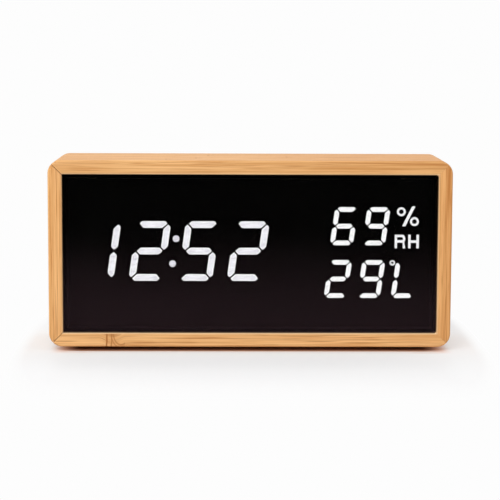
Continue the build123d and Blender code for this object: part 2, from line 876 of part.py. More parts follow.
def contact_with_strip(at_left, z):
    """An end contact with the narrow strip through the well's floor that its lead is soldered to."""
    strip = brick(contact_span(at_left), (strip_end, cell_y), about(z, tab_strip_width))
    return contact_plate(at_left, [z]) + strip


def biarc(start, start_way, end, end_way):
    """Two arcs that join two points with given directions, smooth where they meet."""
    chord = end - start
    ways = start_way + end_way
    spread = 2 * (1 - start_way.dot(end_way))
    lean = chord.dot(ways)
    reach = (math.sqrt(lean * lean + spread * chord.dot(chord)) - lean) / spread
    first = start + start_way * reach
    last = end - end_way * reach
    join = (first + last) * (1 / 2)
    join_way = (last - first).normalized()
    return [TangentArc(start, join, tangent=start_way), TangentArc(join, end, tangent=join_way)]


def spring_stop(base, axis, quarter):
    """A point on the spring's cone after some quarter turns, and the way that the wire runs there."""
    part = quarter / spring_quarter_turns
    angle = quarter * math.pi / 2
    outward = Vector(0, math.cos(angle), math.sin(angle))
    along = Vector(0, -math.sin(angle), math.cos(angle))
    radius = spring_base_radius + (spring_top_radius - spring_base_radius) * part
    square_end = spring_wire + spring_bend
    rise = spring_length - 2 * square_end
    if 0 < quarter < spring_quarter_turns:
        quarter_run = radius * math.pi / 2
        along = (along * quarter_run + axis * (rise / spring_quarter_turns)).normalized()
    return base + outward * radius + axis * (square_end + rise * part), along


def spring_path(base, toward):
    """A conical spring's centre line along X: square ends, small bends, and quarter turns on biarcs."""
    axis = Vector(toward, 0, 0)
    stops = [spring_stop(base, axis, quarter) for quarter in range(spring_quarter_turns + 1)]
    first, first_way = stops[0]
    last, last_way = stops[-1]
    bend_start = first - axis * spring_bend
    bend_end = last + (last_way + axis) * spring_bend
    stops[0] = (first + first_way * spring_bend, first_way)
    edges = [Line(bend_start - axis * spring_wire, bend_start)]
    edges.append(TangentArc(bend_start, stops[0][0], tangent=axis))
    for (start, start_way), (end, end_way) in zip(stops, stops[1:]):
        edges += biarc(start, start_way, end, end_way)
    edges.append(TangentArc(last, bend_end, tangent=last_way))
    edges.append(Line(bend_end, bend_end + axis * spring_wire))
    return Wire([edge.edge() for edge in edges])


def self_gap(path, wire, samples):
    """Least clear distance between stretches of a wire that are not neighbours along it."""
    points = [path.position_at(index / samples) for index in range(samples + 1)]
    step = path.length / samples
    apart = math.ceil(math.pi * wire / step) + 1
    gaps = []
    for index, point in enumerate(points):
        for other in points[index + apart:]:
            gaps.append((point - other).length - wire)
    return min(gaps)


def battery_spring(at_left, z):
    """One conical spring between its contact and the flat end of a cell."""
    if at_left:
        base = Vector(well_left + contact_thickness, cell_y, z)
        toward = 1
    else:
        base = Vector(well_right - contact_thickness, cell_y, z)
        toward = -1
    path = spring_path(base, toward)
    section = Plane(origin=path @ 0, z_dir=(toward, 0, 0)) * Circle(spring_wire / 2)
    spring = sweep(section, path=path)
    expected = math.pi * spring_wire ** 2 / 4 * path.length
    gap = self_gap(path, spring_wire, gap_samples)
    print("spring volume over section times length", round(spring.volume / expected, 4))
    print("spring least gap to itself", round(gap, 3))
    return spring


def battery_lead(at_left, z, step_side):
    """An insulated lead from a contact strip to the main board, with a sidestep that takes up its slack."""
    x = sum(contact_span(at_left)) / 2
    way = strip_end - board_back
    end_run = lead_end_share * way
    landing = z + step_side * lead_step
    points = [(x, strip_end, z), (x, strip_end - end_run, z)]
    points += [(x, board_back + end_run, landing), (x, board_back, landing)]
    turn = math.atan2(lead_step, way - 2 * end_run)
    bend = lead_bend_share * end_run / math.tan(turn / 2)
    path = FilletPolyline(*points, radius=[bend, bend])
    section = Plane(origin=points[0], z_dir=(0, -1, 0)) * Circle(lead_radius)
    lead = sweep(section, path=path)
    expected = math.pi * lead_radius ** 2 * path.length
    print("lead bends", round(bend, 2), "volume over section times length", round(lead.volume / expected, 4))
    return lead


def battery_pieces():
    """Three cells in a row, their contacts, springs and leads."""
    top, middle, bottom = cell_heights
    springs = [battery_spring(False, top), battery_spring(True, middle), battery_spring(False, bottom)]
    return {
        "battery_cell_1": cell(top, True),
        "battery_cell_2": cell(middle, False),
        "battery_cell_3": cell(bottom, True),
        "battery_positive_contact": contact_with_strip(True, top),
        "battery_negative_contact": contact_with_strip(False, bottom),
        "battery_bridge_inner": contact_plate(True, [middle, bottom]),
        "battery_bridge_outer": contact_plate(False, [top, middle]),
        "battery_springs": group(springs),
        "battery_lead_red": battery_lead(True, top, -1),
        "battery_lead_black": battery_lead(False, bottom, 1),
    }


# Key board
def key_icons():
    """A ring for set, and triangles that point up and down."""
    ring = Circle(icon_radius) - Circle(icon_radius - icon_line)
    triangle = RegularPolygon(icon_radius, 3)
    return {"set": ring, "up": Rotation(0, 0, 90) * triangle, "down": Rotation(0, 0, -90) * triangle}


def key_pieces():
    """The key caps with their icons, and the switch plungers that they press."""
    flange_back = cover_front - flange_gap
    flange_front = flange_back - flange_thickness
    cap_back = cover_back + cap_proud
    switch_top = key_board_back + switch_height
    nodes = {}
    for (name, icon), (x, z) in zip(key_icons().items(), key_places()):
        cap = rod(x, z, cap_radius, flange_front, cap_back)
        rim = cap.edges().filter_by(GeomType.CIRCLE).sort_by(Axis.Y)[-1]
        cap = fillet(rim, cap_edge_round)
        cap += rod(x, z, cap_radius + flange_width, flange_front, flange_back)
        nodes[name + "_button"] = cap - slab(Pos(x, z) * icon, cap_back - icon_depth, cap_back)
        nodes[name + "_plunger"] = rod(x, z, plunger_radius, switch_top - plunger_insert, flange_front)
    return nodes


def switch_pieces():
    """The switch bases on the key board and the sheet-metal covers that keep the plungers in."""
    switch_top = key_board_back + switch_height
    bore = plunger_radius + plunger_clearance
    bore_end = switch_top - plunger_insert - key_travel - bore_room
    bases = []
    covers = []
    for x, z in key_places():
        square = Pos(x, z) * Rectangle(switch_side, switch_side)
        bases.append(slab(square, key_board_back, switch_top) - rod(x, z, bore, bore_end, switch_top))
        cover_top = switch_top + switch_cover_thickness
        covers.append(slab(square, switch_top, cover_top) - rod(x, z, bore, switch_top, cover_top))
    return {"tact_switch_bases": group(bases), "tact_switch_covers": group(covers)}


def usb_outline(width, height, corner):
    """The socket's outline: a flat rectangle with its two lower corners cut off."""
    half = width / 2
    top = height / 2
    points = [(-half, top), (half, top), (half, corner - top), (half - corner, -top)]
    return outline(points + [(corner - half, -top), (-half, corner - top)])


def usb_pieces():
    """The charging socket's folded shell, closed at the board, and the tongue inside it."""
    place = Pos(*on_key_board(usb_x_share, usb_z_share))
    mouth = cover_back - usb_setback
    floor = key_board_back + usb_wall
    inner_corner = usb_corner - usb_wall * (2 - math.sqrt(2))
    shell = slab(place * usb_outline(usb_width, usb_height, usb_corner), key_board_back, mouth)
    hollow = usb_outline(usb_width - 2 * usb_wall, usb_height - 2 * usb_wall, inner_corner)
    tongue = place * Rectangle(tongue_width, tongue_thickness)
    return {
        "usb_shell": shell - slab(place * hollow, floor, mouth),
        "usb_tongue": slab(tongue, floor, mouth - tongue_setback),
    }


def sensor_pieces():
    """The humidity sensor with its slots, the thermistor bead on its legs, and the buzzer."""
    x, z = on_key_board(sensor_x_share, sensor_z_share)
    top = key_board_back + sensor_height
    sensor = brick(about(x, sensor_width), (key_board_back, top), about(z, sensor_length))
    for index in range(sensor_slots):
        slot_z = z + (index - (sensor_slots - 1) / 2) * sensor_slot_pitch
        slot = Pos(x, slot_z) * Rectangle(sensor_slot_length, sensor_slot_width)
        sensor -= slab(slot, top - sensor_slot_depth, top)
    bead_x, bead_z = on_key_board(thermistor_x_share, thermistor_z_share)
    bead_y = key_board_back + bead_rise
    thermistor = Pos(bead_x, bead_y, bead_z) * Sphere(bead_radius)
    for side in (-1, 1):
        thermistor += rod(bead_x + side * wire_pitch / 2, bead_z, wire_radius, key_board_back, bead_y)
    buzzer_x, buzzer_z = on_key_board(buzzer_x_share, buzzer_z_share)
    buzzer_top = key_board_back + buzzer_height
    buzzer = rod(buzzer_x, buzzer_z, buzzer_radius, key_board_back, buzzer_top)
    rim = buzzer.edges().filter_by(GeomType.CIRCLE).sort_by(Axis.Y)[-1]
    buzzer = fillet(rim, buzzer_edge_round)
    buzzer -= rod(buzzer_x, buzzer_z, buzzer_mouth_radius, buzzer_top - buzzer_mouth_depth, buzzer_top)
    return {"humidity_sensor": sensor, "thermistor": thermistor, "buzzer": buzzer}


def key_board_pieces():
    """The key board and its screws into the cover's bosses."""
    square = Pos(key_board_x, case_middle) * Rectangle(key_board_width, key_board_height)
    board = slab(square, key_board_front, key_board_back)
    tip = key_board_front + board_screw_length
    sizes = (board_head_radius, board_head_height, board_screw_radius)
    screws = []
    for x, z in boss_places():
        board -= rod(x, z, board_screw_radius + screw_clearance, key_board_front, key_board_back)
        screws.append(pan_screw(x, z, key_board_front, tip, *sizes))
    return {"key_board": board, "key_board_screws": group(screws)}


# Whole clock
def clock():
    """Every node of the clock, by name."""
    nodes = frame_planks()
    nodes["corner_blocks"] = corner_blocks()
    nodes["rubber_feet"] = rubber_feet()
    nodes.update(front_pieces())
    nodes.update(display_pieces())
    nodes.update(main_board_pieces())
    nodes.update(ribbon_pieces())
    nodes["rear_cover"] = rear_cover()
    nodes["rear_cover_screws"] = rear_cover_screws()
    nodes["battery_door"] = battery_door()
    nodes.update(battery_pieces())
    nodes.update(key_board_pieces())
    nodes.update(key_pieces())
    nodes.update(switch_pieces())
    nodes.update(usb_pieces())
    nodes.update(sensor_pieces())
    return nodes


os.makedirs("parts", exist_ok=True)
for node_name, shape in clock().items():
    export_step(shape, os.path.join("parts", node_name + ".step"))
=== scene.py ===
import logging
import math
from dataclasses import dataclass
from enum import Enum
from functools import partialmethod
from typing import ClassVar, Dict, List, Mapping, Optional, Sequence, Tuple, Union

import bmesh
import bpy
import numpy as np
from mathutils import Matrix, Vector


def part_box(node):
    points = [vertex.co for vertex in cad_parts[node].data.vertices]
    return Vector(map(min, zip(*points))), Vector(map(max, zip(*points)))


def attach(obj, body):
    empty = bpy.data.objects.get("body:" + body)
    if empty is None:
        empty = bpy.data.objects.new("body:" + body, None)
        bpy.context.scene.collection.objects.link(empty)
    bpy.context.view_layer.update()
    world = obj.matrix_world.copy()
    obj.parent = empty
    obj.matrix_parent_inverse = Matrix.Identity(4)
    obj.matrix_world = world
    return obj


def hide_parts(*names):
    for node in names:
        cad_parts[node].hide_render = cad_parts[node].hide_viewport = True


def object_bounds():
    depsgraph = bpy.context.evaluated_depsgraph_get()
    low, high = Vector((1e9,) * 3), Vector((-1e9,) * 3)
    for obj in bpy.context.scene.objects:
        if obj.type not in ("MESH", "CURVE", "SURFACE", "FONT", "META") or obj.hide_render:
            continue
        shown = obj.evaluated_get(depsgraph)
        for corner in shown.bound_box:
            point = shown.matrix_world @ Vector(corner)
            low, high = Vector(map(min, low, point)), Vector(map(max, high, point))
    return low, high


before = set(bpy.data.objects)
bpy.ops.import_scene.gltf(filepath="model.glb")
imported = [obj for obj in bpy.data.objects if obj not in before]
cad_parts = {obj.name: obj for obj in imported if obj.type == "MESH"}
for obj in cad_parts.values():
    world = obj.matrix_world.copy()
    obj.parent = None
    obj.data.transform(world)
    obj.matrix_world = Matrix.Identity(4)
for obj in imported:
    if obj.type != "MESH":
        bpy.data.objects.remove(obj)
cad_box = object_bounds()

# Looks of a desk clock with a mitred bamboo case and lit digits.
# Metres. X runs to the right seen from the front, Y from front to back, Z up from the table.

MM = 0.001
CASE = "case"

log = logging.getLogger("desk_clock")

Colour = Tuple[float, float, float, float]
Pair = Tuple[float, float]
Triple = Tuple[float, float, float]
Value = Union[float, Sequence[float], "Wire"]
Inputs = Mapping[Union[str, int], Value]
Wires = Dict[str, "Wire"]
Sockets = Dict[str, str]

WHITE: Colour = (1.0, 1.0, 1.0, 1.0)
ZERO: Triple = (0.0, 0.0, 0.0)
ONE: Triple = (1.0, 1.0, 1.0)


def srgb(red: int, green: int, blue: int) -> Colour:
    """Turn a display colour into linear light, by the sRGB curve.

    Args:
        red: Red from 0 to 255.
        green: Green from 0 to 255.
        blue: Blue from 0 to 255.

    Returns:
        Linear red, green and blue with an opaque alpha.
    """
    parts = np.array([red, green, blue]) / 255.0
    linear = np.where(parts <= 0.04045, parts / 12.92, ((parts + 0.055) / 1.055) ** 2.4)
    return (*linear.tolist(), 1.0)


# Shader trees

# Numbers of the colour sockets of a Mix node, which has others of the same names.
MIX_FIRST, MIX_SECOND, MIX_RESULT = 6, 7, 2


@dataclass(frozen=True, eq=False)
class Wire:
    """One value in a shader tree. Its arithmetic adds Math nodes, and | is the greater of two."""

    tree: "Tree"
    socket: bpy.types.NodeSocket

    def work_out(self, operation: str, other: Value = 0.0) -> "Wire":
        """One number from this and another."""
        return self.tree.math(operation, self, other)

    def __rsub__(self, other: Value) -> "Wire":
        """Another less this."""
        return self.tree.math("SUBTRACT", other, self)

    __add__ = __radd__ = partialmethod(work_out, "ADD")
    __sub__ = partialmethod(work_out, "SUBTRACT")
    __mul__ = __rmul__ = partialmethod(work_out, "MULTIPLY")
    __truediv__ = partialmethod(work_out, "DIVIDE")
    __or__ = partialmethod(work_out, "MAXIMUM")
    __lt__ = partialmethod(work_out, "LESS_THAN")
    __abs__ = partialmethod(work_out, "ABSOLUTE")


class Tree:
    """Shorthand for building one shader node tree."""

    def __init__(self, nodes: bpy.types.NodeTree) -> None:
        """Keep the tree that nodes are added to."""
        self.nodes = nodes

    def put(self, socket: bpy.types.NodeSocket, value: Value) -> None:
        """Link a socket to a wire, or set its value.

        Args:
            socket: The input.
            value: The wire or value that it gets.
        """
        if isinstance(value, Wire):
            self.nodes.links.new(value.socket, socket)
        else:
            socket.default_value = value

    def add(self, kind: str, inputs: Optional[Inputs] = None, **settings: object) -> bpy.types.Node:
        """Add a node.

        Args:
            kind: The node's type, without its ShaderNode start.
            inputs: Values or wires by the input's name or number.
            settings: Other properties of the node.

        Returns:
            The new node.
        """
        node = self.nodes.nodes.new("ShaderNode" + kind)
        for name, value in settings.items():
            setattr(node, name, value)
        for name, value in (inputs or {}).items():
            self.put(node.inputs[name], value)
        return node

    def wire(self, kind: str, inputs: Optional[Inputs] = None, output: Union[str, int] = 0,
             **settings: object) -> Wire:
        """Add a node and give one of its outputs, by name or number."""
        return Wire(self, self.add(kind, inputs, **settings).outputs[output])

    def wires(self, kind: str, inputs: Optional[Inputs] = None, **settings: object) -> Wires:
        """Add a node and give all its outputs by name."""
        node = self.add(kind, inputs, **settings)
        return {socket.name: Wire(self, socket) for socket in node.outputs}

    def math(self, operation: str, first: Value, second: Value = 0.0) -> Wire:
        """Work out one number from two."""
        return self.wire("Math", {0: first, 1: second}, operation=operation)

    def length(self, first: Wire, second: Wire) -> Wire:
        """Root of the sum of two squares."""
        return self.math("SQRT", first * first + second * second)

    def fade(self, value: Value, low: Value, high: Value) -> Wire:
        """Rise smoothly from 0 at low to 1 at high."""
        inputs = {"Value": value, "From Min": low, "From Max": high}
        return self.wire("MapRange", inputs, interpolation_type="SMOOTHSTEP")

    def band(self, value: Wire, middle: float, half: float, edge: float) -> Wire:
        """A soft-edged band: 1 within half of the middle, 0 past an edge further out."""
        return 1.0 - self.fade(abs(value - middle), half, half + edge)

    def mix(self, factor: Value, first: Value, second: Value, blend: str = "MIX") -> Wire:
        """Mix two colours."""
        inputs = {0: factor, MIX_FIRST: first, MIX_SECOND: second}
        return self.wire("Mix", inputs, MIX_RESULT, data_type="RGBA", blend_type=blend)

    def times(self, first: Value, second: Value) -> Wire:
        """Multiply two colours."""
        return self.mix(1.0, first, second, "MULTIPLY")

    def toned(self, colour: Value, level: Wire) -> Wire:
        """A colour made darker or paler by a level."""
        return self.times(colour, self.wire("CombineColor", {0: level, 1: level, 2: level}))

    def stretch(self, place: Wire, scale: Triple, shift: Triple = ZERO,
                turn: Triple = ZERO) -> Wire:
        """Scale, turn and shift a place."""
        inputs = {"Vector": place, "Location": shift, "Rotation": turn, "Scale": scale}
        return self.wire("Mapping", inputs)

    def noise(self, place: Wire, scale: Value = 1.0, detail: float = 2.0) -> Wire:
        """Soft noise about a half."""
        return self.wire("TexNoise", {"Vector": place, "Scale": scale, "Detail": detail})

    def parts(self, place: Wire) -> Tuple[Wire, ...]:
        """Split a place into X, Y and Z."""
        return tuple(self.wires("SeparateXYZ", {0: place}).values())

    def effect(self, kind: "Effect", inputs: Inputs) -> Wires:
        """Place a shared effect with its own values, and give its outputs by name."""
        return self.wires("Group", inputs, node_tree=kind.group())


def bare_nodes(owner: Union[bpy.types.Material, bpy.types.World]) -> bpy.types.NodeTree:
    """Turn on the nodes of a material or a world, and empty its tree.

    Args:
        owner: The material or world.

    Returns:
        Its tree.
    """
    owner.use_nodes = True
    owner.node_tree.nodes.clear()
    return owner.node_tree


class Skin(Tree):
    """The tree of one material, with its Principled surface and the place on the piece."""

    def __init__(self, name: str, colour: Colour, roughness: float) -> None:
        """Make the material.

        Args:
            name: The material's name.
            colour: Its base colour.
            roughness: Its roughness.
        """
        self.material = bpy.data.materials.new(name)
        super().__init__(bare_nodes(self.material))
        self.surface = self.add("BsdfPrincipled", {"Base Color": colour, "Roughness": roughness})
        self.add("OutputMaterial", {"Surface": Wire(self, self.surface.outputs[0])})
        self.place = self.wire("TexCoord", output="Object")

    def give(self, inputs: Mapping[str, Value]) -> None:
        """Set or link inputs of the surface."""
        for name, value in inputs.items():
            self.put(self.surface.inputs[name], value)

    def bump(self, height: Wire, depth: float, strength: float = 1.0) -> None:
        """Give the surface small relief.

        Args:
            height: Relief from 0 to 1.
            depth: What a height of 1 stands for, in metres.
            strength: How much of the relief shows.
        """
        inputs = {"Height": height, "Distance": depth, "Strength": strength}
        self.give({"Normal": self.wire("Bump", inputs)})

    def cover(self, effect: Wires) -> None:
        """Take the surface's colour and roughness from an effect."""
        self.give({"Base Color": effect["Color"], "Roughness": effect["Roughness"]})

    def paint_over(self, mask: Wire, paint: Colour) -> None:
        """Cover the surface's colour with another where a mask is 1."""
        plain = Wire(self, self.surface.inputs["Base Color"].links[0].from_socket)
        self.give({"Base Color": self.mix(mask, plain, paint)})


# Shared effects


@dataclass(frozen=True)
class Cells:
    """Noise drawn out along X: cells to a metre along and across it, their detail and offset."""

    along: float
    across: float
    detail: float
    shift: Triple = ZERO

    def noise(self, tree: Tree, place: Wire) -> Wire:
        """The noise at a place."""
        scale = (self.along, self.across, self.across)
        return tree.noise(tree.stretch(place, scale, self.shift), detail=self.detail)


class Effect:
    """A surface effect that finishes share, built once as a shader node group."""

    name: ClassVar[str]
    inputs: ClassVar[Sockets]
    outputs: ClassVar[Sockets] = {"Color": "Color", "Roughness": "Float", "Height": "Float"}

    def group(self) -> bpy.types.NodeTree:
        """Give the effect's node group, built the first time.

        Returns:
            The group, whose first input is the place on the piece.
        """
        group = bpy.data.node_groups.get(self.name)
        if group is not None:
            return group
        group = bpy.data.node_groups.new(self.name, "ShaderNodeTree")
        inputs = {"Vector": "Vector", **self.inputs}
        for way, sockets in (("INPUT", inputs), ("OUTPUT", self.outputs)):
            for label, kind in sockets.items():
                group.interface.new_socket(label, in_out=way, socket_type="NodeSocket" + kind)
        tree = Tree(group)
        source = group.nodes.new("NodeGroupInput")
        target = group.nodes.new("NodeGroupOutput")
        wires = {socket.name: Wire(tree, socket) for socket in source.outputs}
        for label, wire in self.fill(tree, wires).items():
            tree.put(target.inputs[label], wire)
        return group

    def fill(self, tree: Tree, source: Wires) -> Wires:
        """Build the group's nodes.

        Args:
            tree: The group's tree.
            source: The group's inputs by name.

        Returns:
            The group's outputs by name.
        """
        raise NotImplementedError


@dataclass(frozen=True)
class FibreEffect(Effect):
    """Bamboo along X: long streaks, thin fibres and threads, and short dark dashes in patches.

    A pair of levels says between which values of its noise a mark fades in.
    """

    name = "bamboo_fibres"
    inputs = {"Pale": "Color", "Warm": "Color", "Fibre": "Color", "Stain": "Float"}
    streak: Cells = Cells(9.0, 620.0, 3.0)
    patch: Cells = Cells(22.0, 260.0, 2.0, (3.7, 1.9, 5.3))
    fibre: Cells = Cells(24.0, 1900.0, 3.0)
    thread: Cells = Cells(44.0, 2500.0, 2.0, (1.3, 4.1, 2.2))
    grit: Cells = Cells(90.0, 3000.0, 1.0)
    streak_tone: float = 0.3
    fibre_tone: float = 0.7
    tone_levels: Pair = (0.36, 0.64)
    dash_levels: Pair = (0.56, 0.7)
    dash_patches: Pair = (0.46, 0.62)
    dash_share: float = 0.5
    line_levels: Pair = (0.54, 0.68)
    line_patches: Pair = (0.34, 0.66)
    line_share: float = 0.75
    thread_share: float = 0.6
    vein_levels: Pair = (0.5, 0.62)
    roughness: float = 0.36
    dash_rough: float = 0.12
    streak_rough: float = 0.16
    fibre_height: float = 0.6

    def fill(self, tree: Tree, source: Wires) -> Wires:
        """Mix the pale and warm tones, then darken the marks, and the streaks where it is stained.

        Args:
            tree: The group's tree.
            source: The group's inputs by name.

        Returns:
            The group's outputs by name.
        """
        place = source["Vector"]
        streak = self.streak.noise(tree, place)
        patch = self.patch.noise(tree, place)
        fibre = self.fibre.noise(tree, place)
        thread = self.thread.noise(tree, place)
        grit = self.grit.noise(tree, place)
        tone = tree.fade(self.streak_tone * streak + self.fibre_tone * fibre, *self.tone_levels)
        dash = tree.fade(grit, *self.dash_levels) * tree.fade(patch, *self.dash_patches)
        line = tree.fade(fibre, *self.line_levels) * tree.fade(patch, *self.line_patches)
        fine = tree.fade(thread, *self.line_levels)
        vein = tree.fade(streak, *self.vein_levels) * source["Stain"]
        dark = self.dash_share * dash | self.line_share * line | self.thread_share * fine | vein
        colour = tree.mix(tone, source["Warm"], source["Pale"])
        return {
            "Color": tree.mix(dark, colour, source["Fibre"]),
            "Roughness": self.dash_rough * dash + self.streak_rough * streak + self.roughness,
            "Height": self.fibre_height * fibre - dash,
        }


@dataclass(frozen=True)
class KnuckleEffect(Effect):
    """A bamboo knuckle across the grain at one place along X, with the grain bent round it.

    It has two lines and a swirl of two rings, each a band: its middle, half width and soft edge.
    """

    name = "bamboo_knuckle"
    inputs = {"Place": "Float"}
    outputs = {"Lines": "Float", "Stain": "Float", "Vector": "Vector"}
    wobble: Cells = Cells(0.0, 200.0, 1.0)
    wobble_reach: float = 1.4 * MM
    first_line: Triple = (0.0, 0.1 * MM, 0.35 * MM)
    second_line: Triple = (1.8 * MM, 0.08 * MM, 0.3 * MM)
    second_share: float = 0.8
    swirl_x: float = 5.3 * MM
    swirl_z: float = 6.4 * MM
    swirl_squash: float = 0.68
    swirl_cut: float = 1.4 * MM
    inner_ring: Triple = (2.8 * MM, 0.08 * MM, 0.3 * MM)
    outer_ring: Triple = (3.6 * MM, 0.05 * MM, 0.3 * MM)
    swirl_share: float = 0.6
    bulge: Triple = (2.2 * MM, 0.6 * MM, 4.4 * MM)
    bend: float = 1.6 * MM

    def fill(self, tree: Tree, source: Wires) -> Wires:
        """Draw the lines and the swirl, and lift the grain near them.

        Args:
            tree: The group's tree.
            source: The group's inputs by name.

        Returns:
            The group's outputs by name.
        """
        x, y, z = tree.parts(source["Vector"])
        from_place = x - source["Place"]
        off = from_place + self.wobble_reach * (self.wobble.noise(tree, source["Vector"]) - 0.5)
        right = from_place - self.swirl_x
        reach = tree.length(self.swirl_squash * (z - self.swirl_z), right)
        rings = tree.band(reach, *self.inner_ring) | tree.band(reach, *self.outer_ring)
        swirl = rings * (right < self.swirl_cut)
        first, second = tree.band(off, *self.first_line), tree.band(off, *self.second_line)
        lines = first | self.second_share * second | self.swirl_share * swirl
        near = tree.band(off, *self.bulge)
        bent = tree.wire("CombineXYZ", {0: x, 1: y, 2: z + self.bend * near})
        return {"Lines": lines, "Stain": near, "Vector": bent}


@dataclass(frozen=True)
class MouldEffect(Effect):
    """Fine spark-eroded grain of moulded plastic, with wider soft mottling of its colour."""

    name = "moulded_grain"
    inputs = {"Base": "Color", "Roughness": "Float", "Scale": "Float", "Spread": "Float"}
    fine_detail: float = 3.0
    fine_share: float = 0.6
    wide_scale: float = 0.06
    wide_share: float = 0.4
    rough_swing: float = 0.25

    def fill(self, tree: Tree, source: Wires) -> Wires:
        """Swing the colour with both noises, and the roughness with the wide one.

        Args:
            tree: The group's tree.
            source: The group's inputs by name.

        Returns:
            The group's outputs by name.
        """
        fine = tree.noise(source["Vector"], source["Scale"], self.fine_detail)
        wide = tree.noise(source["Vector"], self.wide_scale * source["Scale"])
        swing = (self.fine_share * fine + self.wide_share * wide - 0.5) * source["Spread"]
        colour = tree.toned(source["Base"], swing + 1.0)
        rough = source["Roughness"] + self.rough_swing * (wide - 0.5)
        return {"Color": colour, "Roughness": rough, "Height": fine}


@dataclass(frozen=True)
class SmudgeEffect(Effect):
    """Soft patches where handling leaves a polished face a little duller, with lint in them."""

    name = "handling_smudges"
    inputs = {"Roughness": "Float", "Spread": "Float"}
    outputs = {"Roughness": "Float"}
    patch_scale: float = 60.0
    patch_detail: float = 3.0
    patch_share: float = 0.75
    lint_scale: float = 900.0
    lint_share: float = 0.25
    levels: Pair = (0.4, 0.7)

    def fill(self, tree: Tree, source: Wires) -> Wires:
        """Lift the roughness in the patches.

        Args:
            tree: The group's tree.
            source: The group's inputs by name.

        Returns:
            The group's outputs by name.
        """
        patch = tree.noise(source["Vector"], self.patch_scale, self.patch_detail)
        lint = tree.noise(source["Vector"], self.lint_scale)
        lift = tree.fade(self.patch_share * patch + self.lint_share * lint, *self.levels)
        return {"Roughness": source["Roughness"] + lift * source["Spread"]}


@dataclass(frozen=True)
class DrawnEffect(Effect):
    """Fine lines left by drawing or rolling a metal, and a slight change of tone along them."""

    name = "drawn_lines"
    inputs = {"Base": "Color", "Roughness": "Float", "Scale": "Vector"}
    detail: float = 3.0
    low_tone: float = 0.82
    tone_swing: float = 0.36
    rough_swing: float = 0.2

    def fill(self, tree: Tree, source: Wires) -> Wires:
        """Swing tone and roughness with the lines.

        Args:
            tree: The group's tree.
            source: The group's inputs by name.

        Returns:
            The group's outputs by name.
        """
        factors = {0: source["Vector"], 1: source["Scale"]}
        scaled = tree.wire("VectorMath", factors, operation="MULTIPLY")
        line = tree.noise(scaled, detail=self.detail)
        colour = tree.toned(source["Base"], self.tone_swing * line + self.low_tone)
        rough = source["Roughness"] + self.rough_swing * (line - 0.5)
        return {"Color": colour, "Roughness": rough, "Height": line}


FIBRES = FibreEffect()
KNUCKLE = KnuckleEffect()
MOULD = MouldEffect()
SMUDGE = SmudgeEffect()
DRAWN = DrawnEffect()


# Finishes


@dataclass(frozen=True)
class Finish:
    """A finish with a base colour and a roughness, as a procedural material."""

    colour: Colour
    roughness: float = 0.5

    def material(self, name: str) -> bpy.types.Material:
        """Make the material.

        Args:
            name: The material's name.

        Returns:
            The material, with one Principled surface that shade() sets up.
        """
        skin = Skin(name, self.colour, self.roughness)
        self.shade(skin)
        return skin.material

    def shade(self, skin: Skin) -> None:
        """Set up the surface of a material."""
        raise NotImplementedError

    def moulded(self, skin: Skin, scale: float, spread: float,
                base: Optional[Wire] = None) -> Wires:
        """Place the moulded grain.

        Args:
            skin: The material's tree.
            scale: Grains to a metre.
            spread: How far the colour swings.
            base: A colour in place of the finish's own.

        Returns:
            The effect's outputs by name.
        """
        return skin.effect(MOULD, {"Vector": skin.place, "Base": base or self.colour,
                                   "Roughness": self.roughness, "Scale": scale, "Spread": spread})


class Grain(Enum):
    """Which way a plank's grain runs, as the turn that brings it to X."""

    ACROSS = ZERO
    UPRIGHT = (0.0, math.pi / 2, 0.0)


